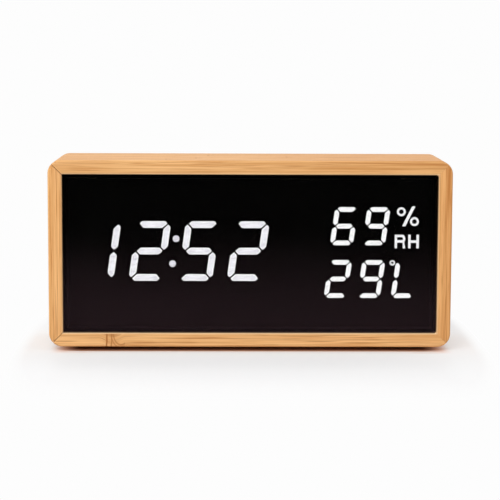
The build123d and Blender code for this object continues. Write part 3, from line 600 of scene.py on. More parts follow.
@dataclass(frozen=True)
class Bamboo(Finish):
    """Satin lacquered bamboo strips, glued side by side from the front of a plank to its back.

    The strips differ in tone and have a knuckle tick each, except the front strip, which may have
    one knuckle drawn in full. A stain lies along an edge, and grows with a tint from end to end.
    A pale painted highlight lies along the lip of the opening, and painted shade darkens the
    rabbet wall behind the panel.
    """

    warm: Colour = srgb(218, 160, 100)
    fibre: Colour = srgb(172, 104, 46)
    level: float = 1.0
    end_tint: Triple = ONE
    grain: Grain = Grain.ACROSS
    shift: Triple = ZERO
    seed: float = 0.0
    knuckle: Optional[float] = None
    knuckle_stain: float = 0.55
    stain: float = 0.0
    stain_start: float = 0.25
    stain_ends: Pair = (-20.0 * MM, 50.0 * MM)
    stain_band: Triple = (70.0 * MM, 0.5 * MM, 1.3 * MM)
    # The lip of the opening gets a pale painted highlight, and the rabbet wall gets painted shade.
    lip: Optional[float] = None
    lip_highlight_share: float = 0.2
    lip_highlight_half: float = 0.42 * MM
    lip_highlight_edge: float = 0.08 * MM
    lip_highlight_colour: Colour = srgb(250, 212, 164)
    wall: Optional[float] = None
    wall_half: float = 0.05 * MM
    wall_edge: float = 0.05 * MM
    wall_shade_colour: Colour = srgb(8, 8, 8)
    strip_width: float = 6.667 * MM
    strip_spread: float = 0.13
    strip_slide: float = 2.0
    front_seam: Pair = (-2.52, -2.48)
    seam: float = 0.22
    seam_band: Triple = (0.5, 0.012, 0.03)
    tick: float = 0.42
    tick_reach: float = 0.26
    tick_wander: float = 1.6 * MM
    wander_scale: float = 320.0
    tick_band: Triple = (0.0, 0.1 * MM, 0.35 * MM)
    smear_band: Triple = (1.4 * MM, 0.1 * MM, 1.4 * MM)
    smear_share: float = 0.3
    line_share: float = 0.95
    shine: float = 0.06
    relief: float = 0.02 * MM
    relief_share: float = 0.5

    def shade(self, skin: Skin) -> None:
        """Set up grain and seams, a painted highlight on the lip and painted shade on the wall, and
        a stain or a knuckle where the plank has one.

        Args:
            skin: The material's tree.
        """
        turned = skin.stretch(skin.place, ONE, turn=self.grain.value)
        along, depth, across = skin.parts(turned)
        far = skin.fade(along, *self.stain_ends)
        count = depth / self.strip_width
        behind = skin.fade(count, *self.front_seam)
        number = skin.math("FLOOR", count + 0.5) + self.seed
        chance = skin.wires("TexWhiteNoise", {"W": number}, noise_dimensions="1D")
        tone_chance, tick_chance, _ = skin.parts(chance["Color"])

        stain = self.stain * (((1.0 - self.stain_start) * far + self.stain_start)
                              * skin.band(across, *self.stain_band))
        wander = self.tick_wander * (skin.noise(skin.place, self.wander_scale) - 0.5)
        off_tick = along - self.tick_reach * (tick_chance - 0.5) + wander
        smear = self.smear_share * skin.band(off_tick, *self.smear_band)
        lines = self.tick * ((skin.band(off_tick, *self.tick_band) | smear) * behind)
        grained = turned
        if self.knuckle is not None:
            knot = skin.effect(KNUCKLE, {"Vector": turned, "Place": self.knuckle})
            front = 1.0 - behind
            grained = skin.mix(front, turned, knot["Vector"])
            lines = lines | knot["Lines"] * front
            stain = stain | self.knuckle_stain * (knot["Stain"] * front)

        slide = skin.wire("CombineXYZ", {0: self.strip_slide * chance["Value"]})
        moved = skin.stretch(grained, ONE, self.shift)
        start = (self.level, self.level, self.level, 1.0)
        end = (*(self.level * part for part in self.end_tint), 1.0)
        tint = skin.mix(far, start, end)
        wood = skin.effect(FIBRES, {
            "Vector": skin.wire("VectorMath", {0: moved, 1: slide}, operation="ADD"),
            "Pale": skin.times(self.colour, tint), "Warm": skin.times(self.warm, tint),
            "Fibre": self.fibre, "Stain": stain})

        strip_level = self.strip_spread * (tone_chance - 0.5) * behind + 1.0
        seam = self.seam * skin.band(skin.math("FRACT", count), *self.seam_band)
        dark = seam | self.line_share * lines
        skin.give({
            "Base Color": skin.mix(dark, skin.toned(wood["Color"], strip_level), self.fibre),
            "Roughness": wood["Roughness"], "Specular IOR Level": self.shine})
        skin.bump(wood["Height"], self.relief, self.relief_share)
        # Painted highlight: a pale band on the eased lip, where its chamfer catches the light.
        if self.lip is not None:
            eased = skin.band(across, self.lip, self.lip_highlight_half, self.lip_highlight_edge)
            skin.paint_over(self.lip_highlight_share * eased, self.lip_highlight_colour)
        # Painted shade: a near-black band on the rabbet wall, where shade falls behind the panel.
        if self.wall is not None:
            wall = skin.band(across, self.wall, self.wall_half, self.wall_edge)
            skin.paint_over(wall, self.wall_shade_colour)


@dataclass(frozen=True)
class Moulded(Finish):
    """Moulded plastic, rubber or resin with a fine grain."""

    grain: float = 2600.0
    depth: float = 0.03 * MM
    spread: float = 0.35
    shine: float = 0.5

    def shade(self, skin: Skin) -> None:
        """Set up the grain and its mottling.

        Args:
            skin: The material's tree.
        """
        grain = self.moulded(skin, self.grain, self.spread)
        skin.cover(grain)
        skin.give({"Specular IOR Level": self.shine})
        skin.bump(grain["Height"], self.depth)


@dataclass(frozen=True)
class KeyCap(Moulded):
    """Satin key plastic with its engraved icon filled in white."""

    paint: Colour = srgb(206, 206, 204)
    middle: Pair = (0.0, 0.0)
    floor: float = 0.0
    floor_margin: float = 0.05 * MM
    reach: float = 1.75 * MM

    def shade(self, skin: Skin) -> None:
        """Set up the plastic, then paint what lies at the icon's floor near the cap's middle.

        Args:
            skin: The material's tree.
        """
        super().shade(skin)
        x, y, z = skin.parts(skin.place)
        inside = skin.length(x - self.middle[0], z - self.middle[1]) < self.reach
        skin.paint_over(inside * (y < self.floor + self.floor_margin), self.paint)


@dataclass(frozen=True)
class DrawnMetal(Finish):
    """Rolled or drawn metal with fine lines, as many to a metre as its scale says."""

    scale: Triple = (60.0, 3000.0, 3000.0)
    depth: float = 0.004 * MM

    def shade(self, skin: Skin) -> None:
        """Set up the lines.

        Args:
            skin: The material's tree.
        """
        drawn = skin.effect(DRAWN, {"Vector": skin.place, "Base": self.colour,
                                    "Roughness": self.roughness, "Scale": self.scale})
        skin.cover(drawn)
        skin.give({"Metallic": 1.0})
        skin.bump(drawn["Height"], self.depth)


@dataclass(frozen=True)
class PlatedScrew(DrawnMetal):
    """Plated screws along Y, with painted shade towards the floors of their cross recesses."""

    scale: Triple = (900.0, 900.0, 900.0)
    shadow: Colour = srgb(70, 70, 68)
    recess_floor: float = 0.0
    floor_half: float = 0.15 * MM
    floor_edge: float = 0.5 * MM

    def shade(self, skin: Skin) -> None:
        """Set up the plating, then paint shade near the recess floor.

        Args:
            skin: The material's tree.
        """
        super().shade(skin)
        _, y, _ = skin.parts(skin.place)
        deep = skin.band(y, self.recess_floor, self.floor_half, self.floor_edge)
        skin.paint_over(deep, self.shadow)


@dataclass(frozen=True)
class SmokedPanel(Finish):
    """Dark smoked acrylic, a little paler and warmer towards its foot by a painted reflection."""

    head: Colour = srgb(8, 7, 6)
    alpha: float = 0.35
    shine: float = 0.02
    low: float = 0.0
    high: float = 60.0 * MM
    cloud_scale: float = 18.0
    cloud_detail: float = 1.0
    sway: float = 12.0 * MM
    smudge: float = 0.06

    def shade(self, skin: Skin) -> None:
        """Set up the painted reflection, paler at the foot than the head, and smudges on the
        polish.

        Args:
            skin: The material's tree.
        """
        _, _, z = skin.parts(skin.place)
        swayed = z + self.sway * (skin.noise(skin.place, self.cloud_scale, self.cloud_detail) - 0.5)
        smudge = skin.effect(SMUDGE, {"Vector": skin.place, "Roughness": self.roughness,
                                      "Spread": self.smudge})
        # Painted reflection: the colour runs from the paler foot to the dark head.
        tint = skin.mix(skin.fade(swayed, self.low, self.high), self.colour, self.head)
        skin.give({"Base Color": tint, "Roughness": smudge["Roughness"],
                   "Alpha": self.alpha, "Specular IOR Level": self.shine})


@dataclass(frozen=True)
class TintedFilm(Finish):
    """Thin light-spreading film, see-through in part."""

    alpha: float = 0.15
    shine: float = 0.05
    grain: float = 1800.0
    spread: float = 0.3

    def shade(self, skin: Skin) -> None:
        """Set up a fine cloudiness."""
        skin.cover(self.moulded(skin, self.grain, self.spread))
        skin.give({"Alpha": self.alpha, "Specular IOR Level": self.shine})


@dataclass(frozen=True)
class LitLens(Finish):
    """Milky lens lit from behind, cloudy, and if rimmed white at its rim and greyer to its ends."""

    inside: Colour = srgb(240, 239, 245)
    ends: Colour = srgb(226, 225, 233)
    ends_from: Pair = (0.2, 0.8)
    strength: float = 2.35
    cloud: float = 0.06
    cloud_scale: float = 220.0
    cloud_levels: Pair = (0.35, 0.7)
    rimmed: bool = True
    shine: float = 0.1

    def shade(self, skin: Skin) -> None:
        """Set up the glow, with the piece's own attributes along and rim where it is rimmed.

        Args:
            skin: The material's tree.
        """
        cloud = skin.fade(skin.noise(skin.place, self.cloud_scale, 0.0), *self.cloud_levels)
        level = 1.0 - self.cloud * cloud
        if self.rimmed:
            along, rim = (skin.wire("Attribute", output="Fac", attribute_name=name)
                          for name in ("along", "rim"))
            lit = skin.mix(skin.fade(abs(along), *self.ends_from), self.inside, self.ends)
            glow = skin.mix(rim, skin.toned(lit, level), WHITE)
        else:
            glow = skin.toned(self.inside, level)
        skin.give({"Emission Color": glow, "Emission Strength": self.strength,
                   "Specular IOR Level": self.shine})


@dataclass(frozen=True)
class CellJacket(Finish):
    """Printed jacket of a cell, with bare steel at both ends and a band near the nub."""

    band: Colour = srgb(190, 120, 60)
    band_at: Triple = (8.0 * MM, 4.2 * MM, 0.1 * MM)
    steel: Colour = srgb(190, 190, 188)
    steel_metallic: float = 1.0
    print_metallic: float = 0.4
    bare_nub: float = 1.6 * MM
    bare_flat: float = 1.4 * MM
    print_edge: float = 0.05 * MM
    nub: float = 0.0
    flat: float = 0.0
    grain: float = 900.0
    spread: float = 0.25

    def shade(self, skin: Skin) -> None:
        """Set up the print by the distance from the nub's tip towards the flat end.

        Args:
            skin: The material's tree.
        """
        x, _, _ = skin.parts(skin.place)
        along = math.copysign(1.0, self.flat - self.nub) * (x - self.nub)
        last = abs(self.flat - self.nub) - self.bare_flat
        middle, half = (last + self.bare_nub) / 2, (last - self.bare_nub) / 2
        bare = 1.0 - skin.band(along, middle, half, self.print_edge)
        printed = skin.mix(skin.band(along, *self.band_at), self.colour, self.band)
        skin.cover(self.moulded(skin, self.grain, self.spread, printed))
        skin.paint_over(bare, self.steel)
        swing = self.steel_metallic - self.print_metallic
        skin.give({"Metallic": swing * bare + self.print_metallic})


@dataclass(frozen=True)
class CircuitBoard(Finish):
    """Green solder mask over copper tracks, with tinned holes."""

    track: Colour = srgb(44, 120, 66)
    track_height: float = 0.7
    tin: Colour = srgb(196, 194, 184)
    hole_scale: float = 180.0
    hole_spread: float = 0.75
    hole_edge: Pair = (0.06, 0.09)
    grain: float = 1500.0
    spread: float = 0.3
    depth: float = 0.03 * MM

    def shade(self, skin: Skin) -> None:
        """Set up tracks between rows of holes, on the face of the board.

        Args:
            skin: The material's tree.
        """
        black = srgb(0, 0, 0)
        flat = skin.stretch(skin.place, ONE, turn=(math.pi / 2, 0.0, 0.0))
        tracks = skin.wires("TexBrick", {
            "Vector": flat, "Color1": black, "Color2": black, "Mortar": WHITE, "Scale": 240.0,
            "Mortar Size": 0.05, "Mortar Smooth": 0.2, "Brick Width": 3.1, "Row Height": 0.52})
        holes = {"Vector": flat, "Scale": self.hole_scale, "Randomness": self.hole_spread}
        via = 1.0 - skin.fade(skin.wire("TexVoronoi", holes, "Distance"), *self.hole_edge)
        skin.cover(self.moulded(skin, self.grain, self.spread))
        skin.paint_over(tracks["Color"], self.track)
        skin.paint_over(via, self.tin)
        skin.bump(self.track_height * tracks["Fac"] + via, self.depth)


# Meshes


def stand(name: str, data: bpy.types.ID) -> bpy.types.Object:
    """Make an object and link it to the scene.

    Args:
        name: The object's name.
        data: Its mesh, light or camera.

    Returns:
        The object, at the origin.
    """
    made = bpy.data.objects.new(name, data)
    bpy.context.scene.collection.objects.link(made)
    return made


class Shells:
    """Closed skins of rings of points, collected for one piece."""

    def __init__(self, *skins: np.ndarray) -> None:
        """Start with these skins, none of them looped."""
        self.points: List[np.ndarray] = []
        self.faces: List[List[int]] = []
        self.count = 0
        for rings in skins:
            self.add(rings)

    def add(self, rings: np.ndarray, looped: bool = False) -> None:
        """Add one skin: each ring is joined to the next, and the last to the first or both capped.

        Args:
            rings: Points of shape (n, sides, 3).
            looped: Whether the last ring is joined to the first.
        """
        number = np.arange(rings.shape[0] * rings.shape[1]).reshape(rings.shape[:2]) + self.count
        edges = np.stack([number, np.roll(number, -1, axis=1)], axis=-1)
        quads = np.concatenate([edges, np.roll(edges, -1, axis=0)[..., ::-1]], axis=-1)
        if looped:
            self.faces += quads.reshape(-1, 4).tolist()
        else:
            self.faces += quads[:-1].reshape(-1, 4).tolist()
            self.faces += [number[0, ::-1].tolist(), number[-1].tolist()]
        self.points.append(rings.reshape(-1, 3))
        self.count += number.size

    def piece(self, name: str, smooth: bool = False) -> bpy.types.Object:
        """Put the skins into a new mesh object, their faces turned outwards.

        Args:
            name: The object's name.
            smooth: Whether the faces are shaded smooth.

        Returns:
            The object, linked to the scene.
        """
        mesh = bpy.data.meshes.new(name)
        mesh.from_pydata(np.concatenate(self.points).tolist(), [], self.faces)
        work = bmesh.new()
        work.from_mesh(mesh)
        bmesh.ops.recalc_face_normals(work, faces=work.faces)
        work.to_mesh(mesh)
        work.free()
        mesh.polygons.foreach_set("use_smooth", np.full(len(mesh.polygons), smooth))
        return stand(name, mesh)


def tube(path: np.ndarray, side: np.ndarray, radius: float, sides: int) -> np.ndarray:
    """Carry a circle along a path, square to it.

    Args:
        path: Points of the middle line, of shape (n, 3).
        side: A direction away from the path at each point, of shape (n, 3) or (3,).
        radius: The circle's radius.
        sides: Points round the circle.

    Returns:
        Rings of points, of shape (n, sides, 3).
    """
    along = np.gradient(path, axis=0)
    along /= np.linalg.norm(along, axis=1, keepdims=True)
    out = np.broadcast_to(side, path.shape)
    out = out - (out * along).sum(axis=1, keepdims=True) * along
    out = out / np.linalg.norm(out, axis=1, keepdims=True)
    over = np.cross(along, out)
    turn = np.linspace(0.0, 2 * np.pi, sides, endpoint=False)[None, :, None]
    return path[:, None] + radius * (np.cos(turn) * out[:, None] + np.sin(turn) * over[:, None])


def smooth_step(part: np.ndarray) -> np.ndarray:
    """Ease from 0 to 1: three parts squared less two cubed."""
    clipped = np.clip(part, 0.0, 1.0)
    return clipped * clipped * (3 - 2 * clipped)


def drawn_in(outlines: np.ndarray, margin: float) -> np.ndarray:
    """Move every side of convex outlines inwards.

    Each corner moves along the sum of its two sides' inward normals, over one plus their product.

    Args:
        outlines: Points in X and Z, of shape (n, k, 2).
        margin: How far each side moves.

    Returns:
        The smaller outlines.
    """
    following = np.roll(outlines, -1, axis=1)
    ahead = following - outlines
    area = (outlines[..., 0] * following[..., 1] - outlines[..., 1] * following[..., 0]).sum(axis=1)
    normal = np.stack([-ahead[..., 1], ahead[..., 0]], axis=-1) * np.sign(area)[:, None, None]
    normal /= np.linalg.norm(normal, axis=-1, keepdims=True)
    before = np.roll(normal, 1, axis=1)
    spread = 1 + (normal * before).sum(axis=-1, keepdims=True)
    return outlines + margin * (normal + before) / spread


def stroke(path: np.ndarray, width: float) -> np.ndarray:
    """Outline of a stroke: an open path moved to both sides by half a width, its corners mitred.

    Args:
        path: Points in X and Z, of shape (n, 2).
        width: The stroke's width.

    Returns:
        Points in X and Z, of shape (2 n, 2).
    """
    ahead = np.diff(path, axis=0)
    ahead /= np.linalg.norm(ahead, axis=1, keepdims=True)
    normal = np.stack([-ahead[:, 1], ahead[:, 0]], axis=-1)
    before = np.concatenate([normal[:1], normal])
    after = np.concatenate([normal, normal[-1:]])
    side = (before + after) / (1 + (before * after).sum(axis=1, keepdims=True)) * width / 2
    return np.concatenate([path + side, (path - side)[::-1]])


def at_depth(flat: np.ndarray, depth: float) -> np.ndarray:
    """Points in X and Z set at one depth in Y."""
    return np.stack([flat[..., 0], np.full(flat.shape[:-1], depth), flat[..., 1]], axis=-1)


# Nodes of the frame


def span(node: str, axis: int) -> Pair:
    """Lowest and highest place of a node along one axis."""
    low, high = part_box(node)
    return low[axis], high[axis]


def middle_of(node: str) -> Vector:
    """Middle of a node's box."""
    low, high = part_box(node)
    return (low + high) / 2


def settle(piece: bpy.types.Object, finish: bpy.types.Material, node: str) -> None:
    """Give a new piece its material, and let it stand for a node of the case.

    Args:
        piece: The new piece.
        finish: Its material.
        node: The node that it stands for.
    """
    piece.data.materials.append(finish)
    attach(piece, CASE)
    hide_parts(node)
    log.info("piece %s stands for %s, %d points", piece.name, node, len(piece.data.vertices))


def dress(nodes: Mapping[str, Finish]) -> None:
    """Give nodes their finishes.

    Args:
        nodes: Finish by node name.
    """
    for name, finish in nodes.items():
        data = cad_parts[name].data
        data.materials.clear()
        data.materials.append(finish.material(name + "_finish"))
        log.info("node %s has its finish", name)


# Wooden case

PALE = srgb(247, 196, 136)
BLACK_RUBBER = Moulded(srgb(22, 21, 21), 0.75, grain=1800.0, depth=0.05 * MM)


@dataclass
class WoodenCase:
    """Four mitred planks, the blocks glued in their corners and the feet."""

    knuckle_x: float = -53.4 * MM
    edge_stain: float = 0.5
    panel_gap: float = 0.1 * MM
    rabbet: float = 1.4 * MM

    def build(self) -> None:
        """Dress the case. Lips and walls lie across the grain: at minus X on an upright plank."""
        left, right = span("front_panel", 0)
        low, high = span("front_panel", 2)
        top, bottom = high + self.panel_gap, low - self.panel_gap
        start, end = self.panel_gap - left, -right - self.panel_gap
        # Each lip gets a painted highlight, strongest on the bottom lip, which faces up to the
        # lights, and each rabbet wall gets painted shade.
        dress({
            "frame_top": Bamboo(
                PALE, seed=31.0, shift=(0.31, 0.012, 0.0), level=0.97, end_tint=(0.94, 0.9, 0.84),
                stain=self.edge_stain, lip_highlight_share=0.5, lip=top, wall=top - self.rabbet),
            "frame_bottom": Bamboo(
                PALE, seed=77.0, shift=(0.77, 0.041, 0.017), level=1.05, knuckle=self.knuckle_x,
                lip_highlight_share=0.85, lip_highlight_half=0.26 * MM, lip=bottom, wall=bottom + self.rabbet),
            "frame_left": Bamboo(
                PALE, seed=13.0, shift=(0.13, 0.027, 0.051), level=1.04, grain=Grain.UPRIGHT,
                lip=start, wall=start - self.rabbet),
            "frame_right": Bamboo(
                srgb(246, 186, 122), warm=srgb(208, 142, 80), seed=52.0, shift=(0.52, 0.063, 0.029),
                level=0.92, grain=Grain.UPRIGHT, lip_highlight_share=0.5, lip=end, wall=end + self.rabbet),
            "corner_blocks": Bamboo(
                srgb(214, 180, 132), warm=srgb(190, 150, 100), seed=90.0, shift=(0.9, 0.3, 0.1)),
            "rubber_feet": BLACK_RUBBER,
        })


# Display

DARK = srgb(4, 4, 4)
SEGMENTS = "abcdefg"


@dataclass(frozen=True)
class DigitSize:
    """Spacing of a digit's centre lines, its stroke, and the gap between its segments."""

    column: float
    row: float
    stroke: float
    gap: float
    lean: float = 0.14
    corner_cut: float = 0.13

    def outlines(self) -> np.ndarray:
        """Outlines of segments a to g about the digit's middle.

        A bar lies across and a post stands up. They end on 45 degree lines, a gap apart, and the
        digit's outer corners are cut off. Then the digit leans: X grows by a share of Z.

        Returns:
            Points in X and Z, of shape (7, 6, 2).
        """
        half = self.stroke / 2
        setback = self.gap / math.sqrt(2)
        cut = self.corner_cut * self.stroke
        tip = (cut - setback) / 2
        tip_out = (cut + setback) / 2
        end = self.column / 2
        inner = end - setback - half
        bar = np.array([(-inner, -half), (inner, -half), (end + tip, tip_out),
                        (end + cut - half, half), (half - end - cut, half),
                        (-end - tip, tip_out)]) + (0.0, self.row)
        middle = np.array([(end - setback, 0.0), (inner, half), (-inner, half),
                           (setback - end, 0.0), (-inner, -half), (inner, -half)])
        post = np.array([(0.0, setback), (half, setback + half), (half, self.row + cut - half),
                         (tip_out, self.row + tip), (-half, self.row - setback - half),
                         (-half, setback + half)]) + (end, 0.0)
        down = np.array((1.0, -1.0))
        left = np.array((-1.0, 1.0))
        flat = np.stack([bar, post, post * down, bar * down, post * down * left, post * left,
                         middle])
        flat[..., 0] += self.lean * flat[..., 1]
        return flat


LARGE = DigitSize(10.43 * MM, 9.94 * MM, 2.65 * MM, 0.5 * MM)
SMALL = DigitSize(6.86 * MM, 6.26 * MM, 1.86 * MM, 0.35 * MM)
LARGE_LIT = LitLens(DARK)
SMALL_LIT = LitLens(DARK, inside=srgb(250, 250, 251), ends=srgb(248, 248, 250), cloud=0.03)


@dataclass(frozen=True)
class DigitRow:
    """One row of digits: its node, places as shares of the block's half sizes, and lit segments."""

    node: str
    x_shares: Tuple[float, ...]
    z_share: float
    lit: Tuple[str, ...]
    size: DigitSize = SMALL
    margin: float = 0.1 * MM
    rim: float = 0.24 * MM
    finish: LitLens = SMALL_LIT

    def places(self) -> List[np.ndarray]:
        """Middle of each digit.

        Returns:
            Places in X and Z.
        """
        low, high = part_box("display_housing")
        half, centre = (high - low) / 2, (high + low) / 2
        return [np.array((centre.x + share * half.x, centre.z + self.z_share * half.z))
                for share in self.x_shares]


TIME = DigitRow("time_digits", (-0.831, -0.5555, -0.2831, -0.0105), 0.03,
                ("bc", "abged", "afgcd", "abged"), LARGE, 0.12 * MM, 0.32 * MM, LARGE_LIT)
HUMIDITY = DigitRow("humidity_digits", (0.5197, 0.6976), 0.377, ("acdefg", "abcdfg"))
TEMPERATURE = DigitRow("temperature_digits", (0.488, 0.6727, 0.8601), -0.3505,
                       ("abged", "abcdfg", "fed"))


@dataclass
class Display:
    """Front panel, film, tape, and the block of lit and unlit segments.

    The percent sign and the letters are placed from the last humidity digit, and the degree ring
    from the unit of the temperature.
    """

    lens_round: float = 0.06 * MM
    rim_glow: float = 0.4
    rim_reach: float = 1.8
    letter_width: float = 3.95 * MM
    letter_height: float = 5.05 * MM
    letter_stroke: float = 0.85 * MM
    bowl_height: float = 2.95 * MM
    bowl_steps: int = 17
    leg_in: float = 0.45
    leg_down: float = 0.6
    letter_r: Pair = (8.93 * MM, -5.67 * MM)
    letter_h: Pair = (13.98 * MM, -5.67 * MM)
    slash_width: float = 1.15 * MM
    slash_height: float = 7.35 * MM
    slash_run: float = 3.6 * MM
    slash_place: Pair = (12.06 * MM, 3.78 * MM)
    percent_radii: Pair = (1.62 * MM, 0.92 * MM)
    upper_ring: Pair = (9.28 * MM, 5.49 * MM)
    lower_ring: Pair = (14.21 * MM, 1.81 * MM)
    degree_radii: Pair = (1.0 * MM, 0.52 * MM)
    degree_place: Pair = (-4.79 * MM, 6.15 * MM)
    ring_sides: int = 48
    reflection_height: float = 0.68
    dot_lit: LitLens = LitLens(DARK, inside=srgb(224, 223, 231), rimmed=False)
    mark_lit: LitLens = LitLens(DARK, inside=srgb(246, 246, 248), cloud=0.03, rimmed=False)

    def lens_piece(self, row: DigitRow) -> bpy.types.Object:
        """Make the lit lenses of a row: outlines carried to the front, with a round edge and a rim.

        Args:
            row: The row of digits.

        Returns:
            The piece. Its attribute rim is 1 at a lens's edge and 0 inside it, and its attribute
            along runs from about -1 to 1 along a lens.
        """
        front, back = span(row.node, 1)
        digits = row.size.outlines()
        outlines = np.concatenate([digits[[SEGMENTS.index(letter) for letter in word]] + place
                                   for word, place in zip(row.lit, row.places())])
        outlines = drawn_in(outlines, row.margin)
        levels = [(outlines, back, 1.0), (outlines, front + self.lens_round, 1.0),
                  (drawn_in(outlines, self.lens_round), front, 1.0),
                  (drawn_in(outlines, row.rim), front, self.rim_glow),
                  (drawn_in(outlines, self.rim_reach * row.rim), front, 0.0)]
        rings = np.stack([at_depth(flat, depth) for flat, depth, _ in levels], axis=1)
        piece = Shells(*rings).piece(row.node + "_lenses")

        middle = outlines.mean(axis=1, keepdims=True)
        spread = np.einsum("nki,nkj->nij", outlines - middle, outlines - middle)
        long_way = np.linalg.eigh(spread)[1][:, :, 1]
        off = np.einsum("nrki,ni->nrk", rings[..., ::2] - middle[:, None], long_way)
        along = off / np.abs(off).max(axis=(1, 2), keepdims=True)
        rim = np.broadcast_to(np.array([glow for _, _, glow in levels])[:, None], along.shape)
        for name, values in (("rim", rim), ("along", along)):
            attribute = piece.data.attributes.new(name, "FLOAT", "POINT")
            attribute.data.foreach_set("value", values.ravel().astype(np.float32))
        return piece

    def letters(self) -> List[Tuple[np.ndarray, Pair]]:
        """Outlines of the slash and of the letters' strokes about their middles.

        An R is a stem, a leg, and a bowl: two runs and a half circle. An H is two stems and a bar.

        Returns:
            Each outline with its place from the digit.
        """
        tall = self.letter_height / 2
        half = self.letter_stroke / 2
        side = self.letter_width / 2 - half
        inner = half - side
        bow = (self.bowl_height - self.letter_stroke) / 2
        waist = tall - half - 2 * bow
        turn = np.linspace(np.pi / 2, -np.pi / 2, self.bowl_steps)
        arc = (side - bow, waist + bow) + bow * np.stack([np.cos(turn), np.sin(turn)], axis=-1)
        bowl = np.concatenate([[(inner, tall - half)], arc, [(inner, waist)]])
        stem = np.array([(-side, -tall), (-side, tall)])
        leg = np.array([(side - self.leg_in * bow, waist - self.leg_down * half), (side, -tall)])
        bar = np.array([(inner, 0.0), (-inner, 0.0)])
        rise = np.array((self.slash_run, self.slash_height)) / 2
        slash = np.stack([-rise, rise])
        lean = np.array((self.slash_width / 2, 0.0))
        outlines = [(np.concatenate([slash - lean, (slash + lean)[::-1]]), self.slash_place)]
        letters = ((self.letter_r, (stem, bowl, leg)), (self.letter_h, (stem, -stem, bar)))
        for place, paths in letters:
            outlines += [(stroke(path, self.letter_stroke), place) for path in paths]
        return outlines

    def mark_piece(self) -> bpy.types.Object:
        """Make the lit unit marks: strokes and rings carried from back to front.

        Returns:
            The piece.
        """
        front, back = span("unit_marks", 1)
        humid = HUMIDITY.places()[-1]
        unit = TEMPERATURE.places()[-1]
        shells = Shells()
        for outline, place in self.letters():
            moved = outline + humid + np.array(place)
            shells.add(np.stack([at_depth(moved, back), at_depth(moved, front)]))
        turn = np.linspace(0.0, 2 * np.pi, self.ring_sides, endpoint=False)
        circle = np.stack([np.cos(turn), np.sin(turn)], axis=-1)
        for (radius, hole), middle in ((self.percent_radii, humid + np.array(self.upper_ring)),
                                       (self.percent_radii, humid + np.array(self.lower_ring)),
                                       (self.degree_radii, unit + np.array(self.degree_place))):
            loops = ((radius, back), (radius, front), (hole, front), (hole, back))
            rings = [at_depth(size * circle + middle, depth) for size, depth in loops]
            shells.add(np.stack(rings), looped=True)
        return shells.piece("unit_mark_lenses")

    def build(self) -> None:
        """Make the lit lenses and dress the rest."""
        for row in (TIME, HUMIDITY, TEMPERATURE):
            glow = row.finish.material(row.node + "_glow")
            settle(self.lens_piece(row), glow, row.node)
        glow = self.mark_lit.material("unit_marks_glow")
        settle(self.mark_piece(), glow, "unit_marks")
        # The front panel's painted reflection fades out at a share of its height.
        low, high = span("front_panel", 2)
        reflection_top = low + self.reflection_height * (high - low)
        dress({
            "front_panel": SmokedPanel(srgb(50, 37, 41), 0.12, low=low, high=reflection_top),
            "panel_tape": Moulded(srgb(5, 5, 5), 0.9, shine=0.02),
            "diffuser_film": TintedFilm(srgb(5, 5, 5), 0.6),
            "colon_dots": self.dot_lit,
            "unlit_segments": Moulded(srgb(7, 7, 7), 0.6, grain=900.0, shine=0.02),
            "segment_leds": Moulded(srgb(226, 206, 120), 0.35, grain=1400.0, spread=0.3),
            "display_housing": Moulded(srgb(3, 3, 3), 0.7, shine=0.02),
        })


# Rear cover

COVER_PLASTIC = Moulded(srgb(30, 30, 31), 0.55, grain=3200.0, depth=0.05 * MM, spread=0.5)
ZINC_COLOUR = srgb(188, 188, 184)
ZINC = DrawnMetal(ZINC_COLOUR, 0.32, scale=(900.0, 900.0, 900.0))


@dataclass
class RearCover:
    """The cover plate with the battery door and the screws."""

    recess_depth: float = 0.75 * MM

    def build(self) -> None:
        """Dress the cover, its door and its screws."""
        floor = span("rear_cover_screws", 1)[1] - self.recess_depth
        dress({
            "rear_cover": COVER_PLASTIC,
            "battery_door": COVER_PLASTIC,
            "rear_cover_screws": PlatedScrew(ZINC_COLOUR, ZINC.roughness, recess_floor=floor),
        })


# Battery pack

NICKEL = DrawnMetal(srgb(206, 200, 188), 0.28, scale=(1500.0, 90.0, 1500.0))


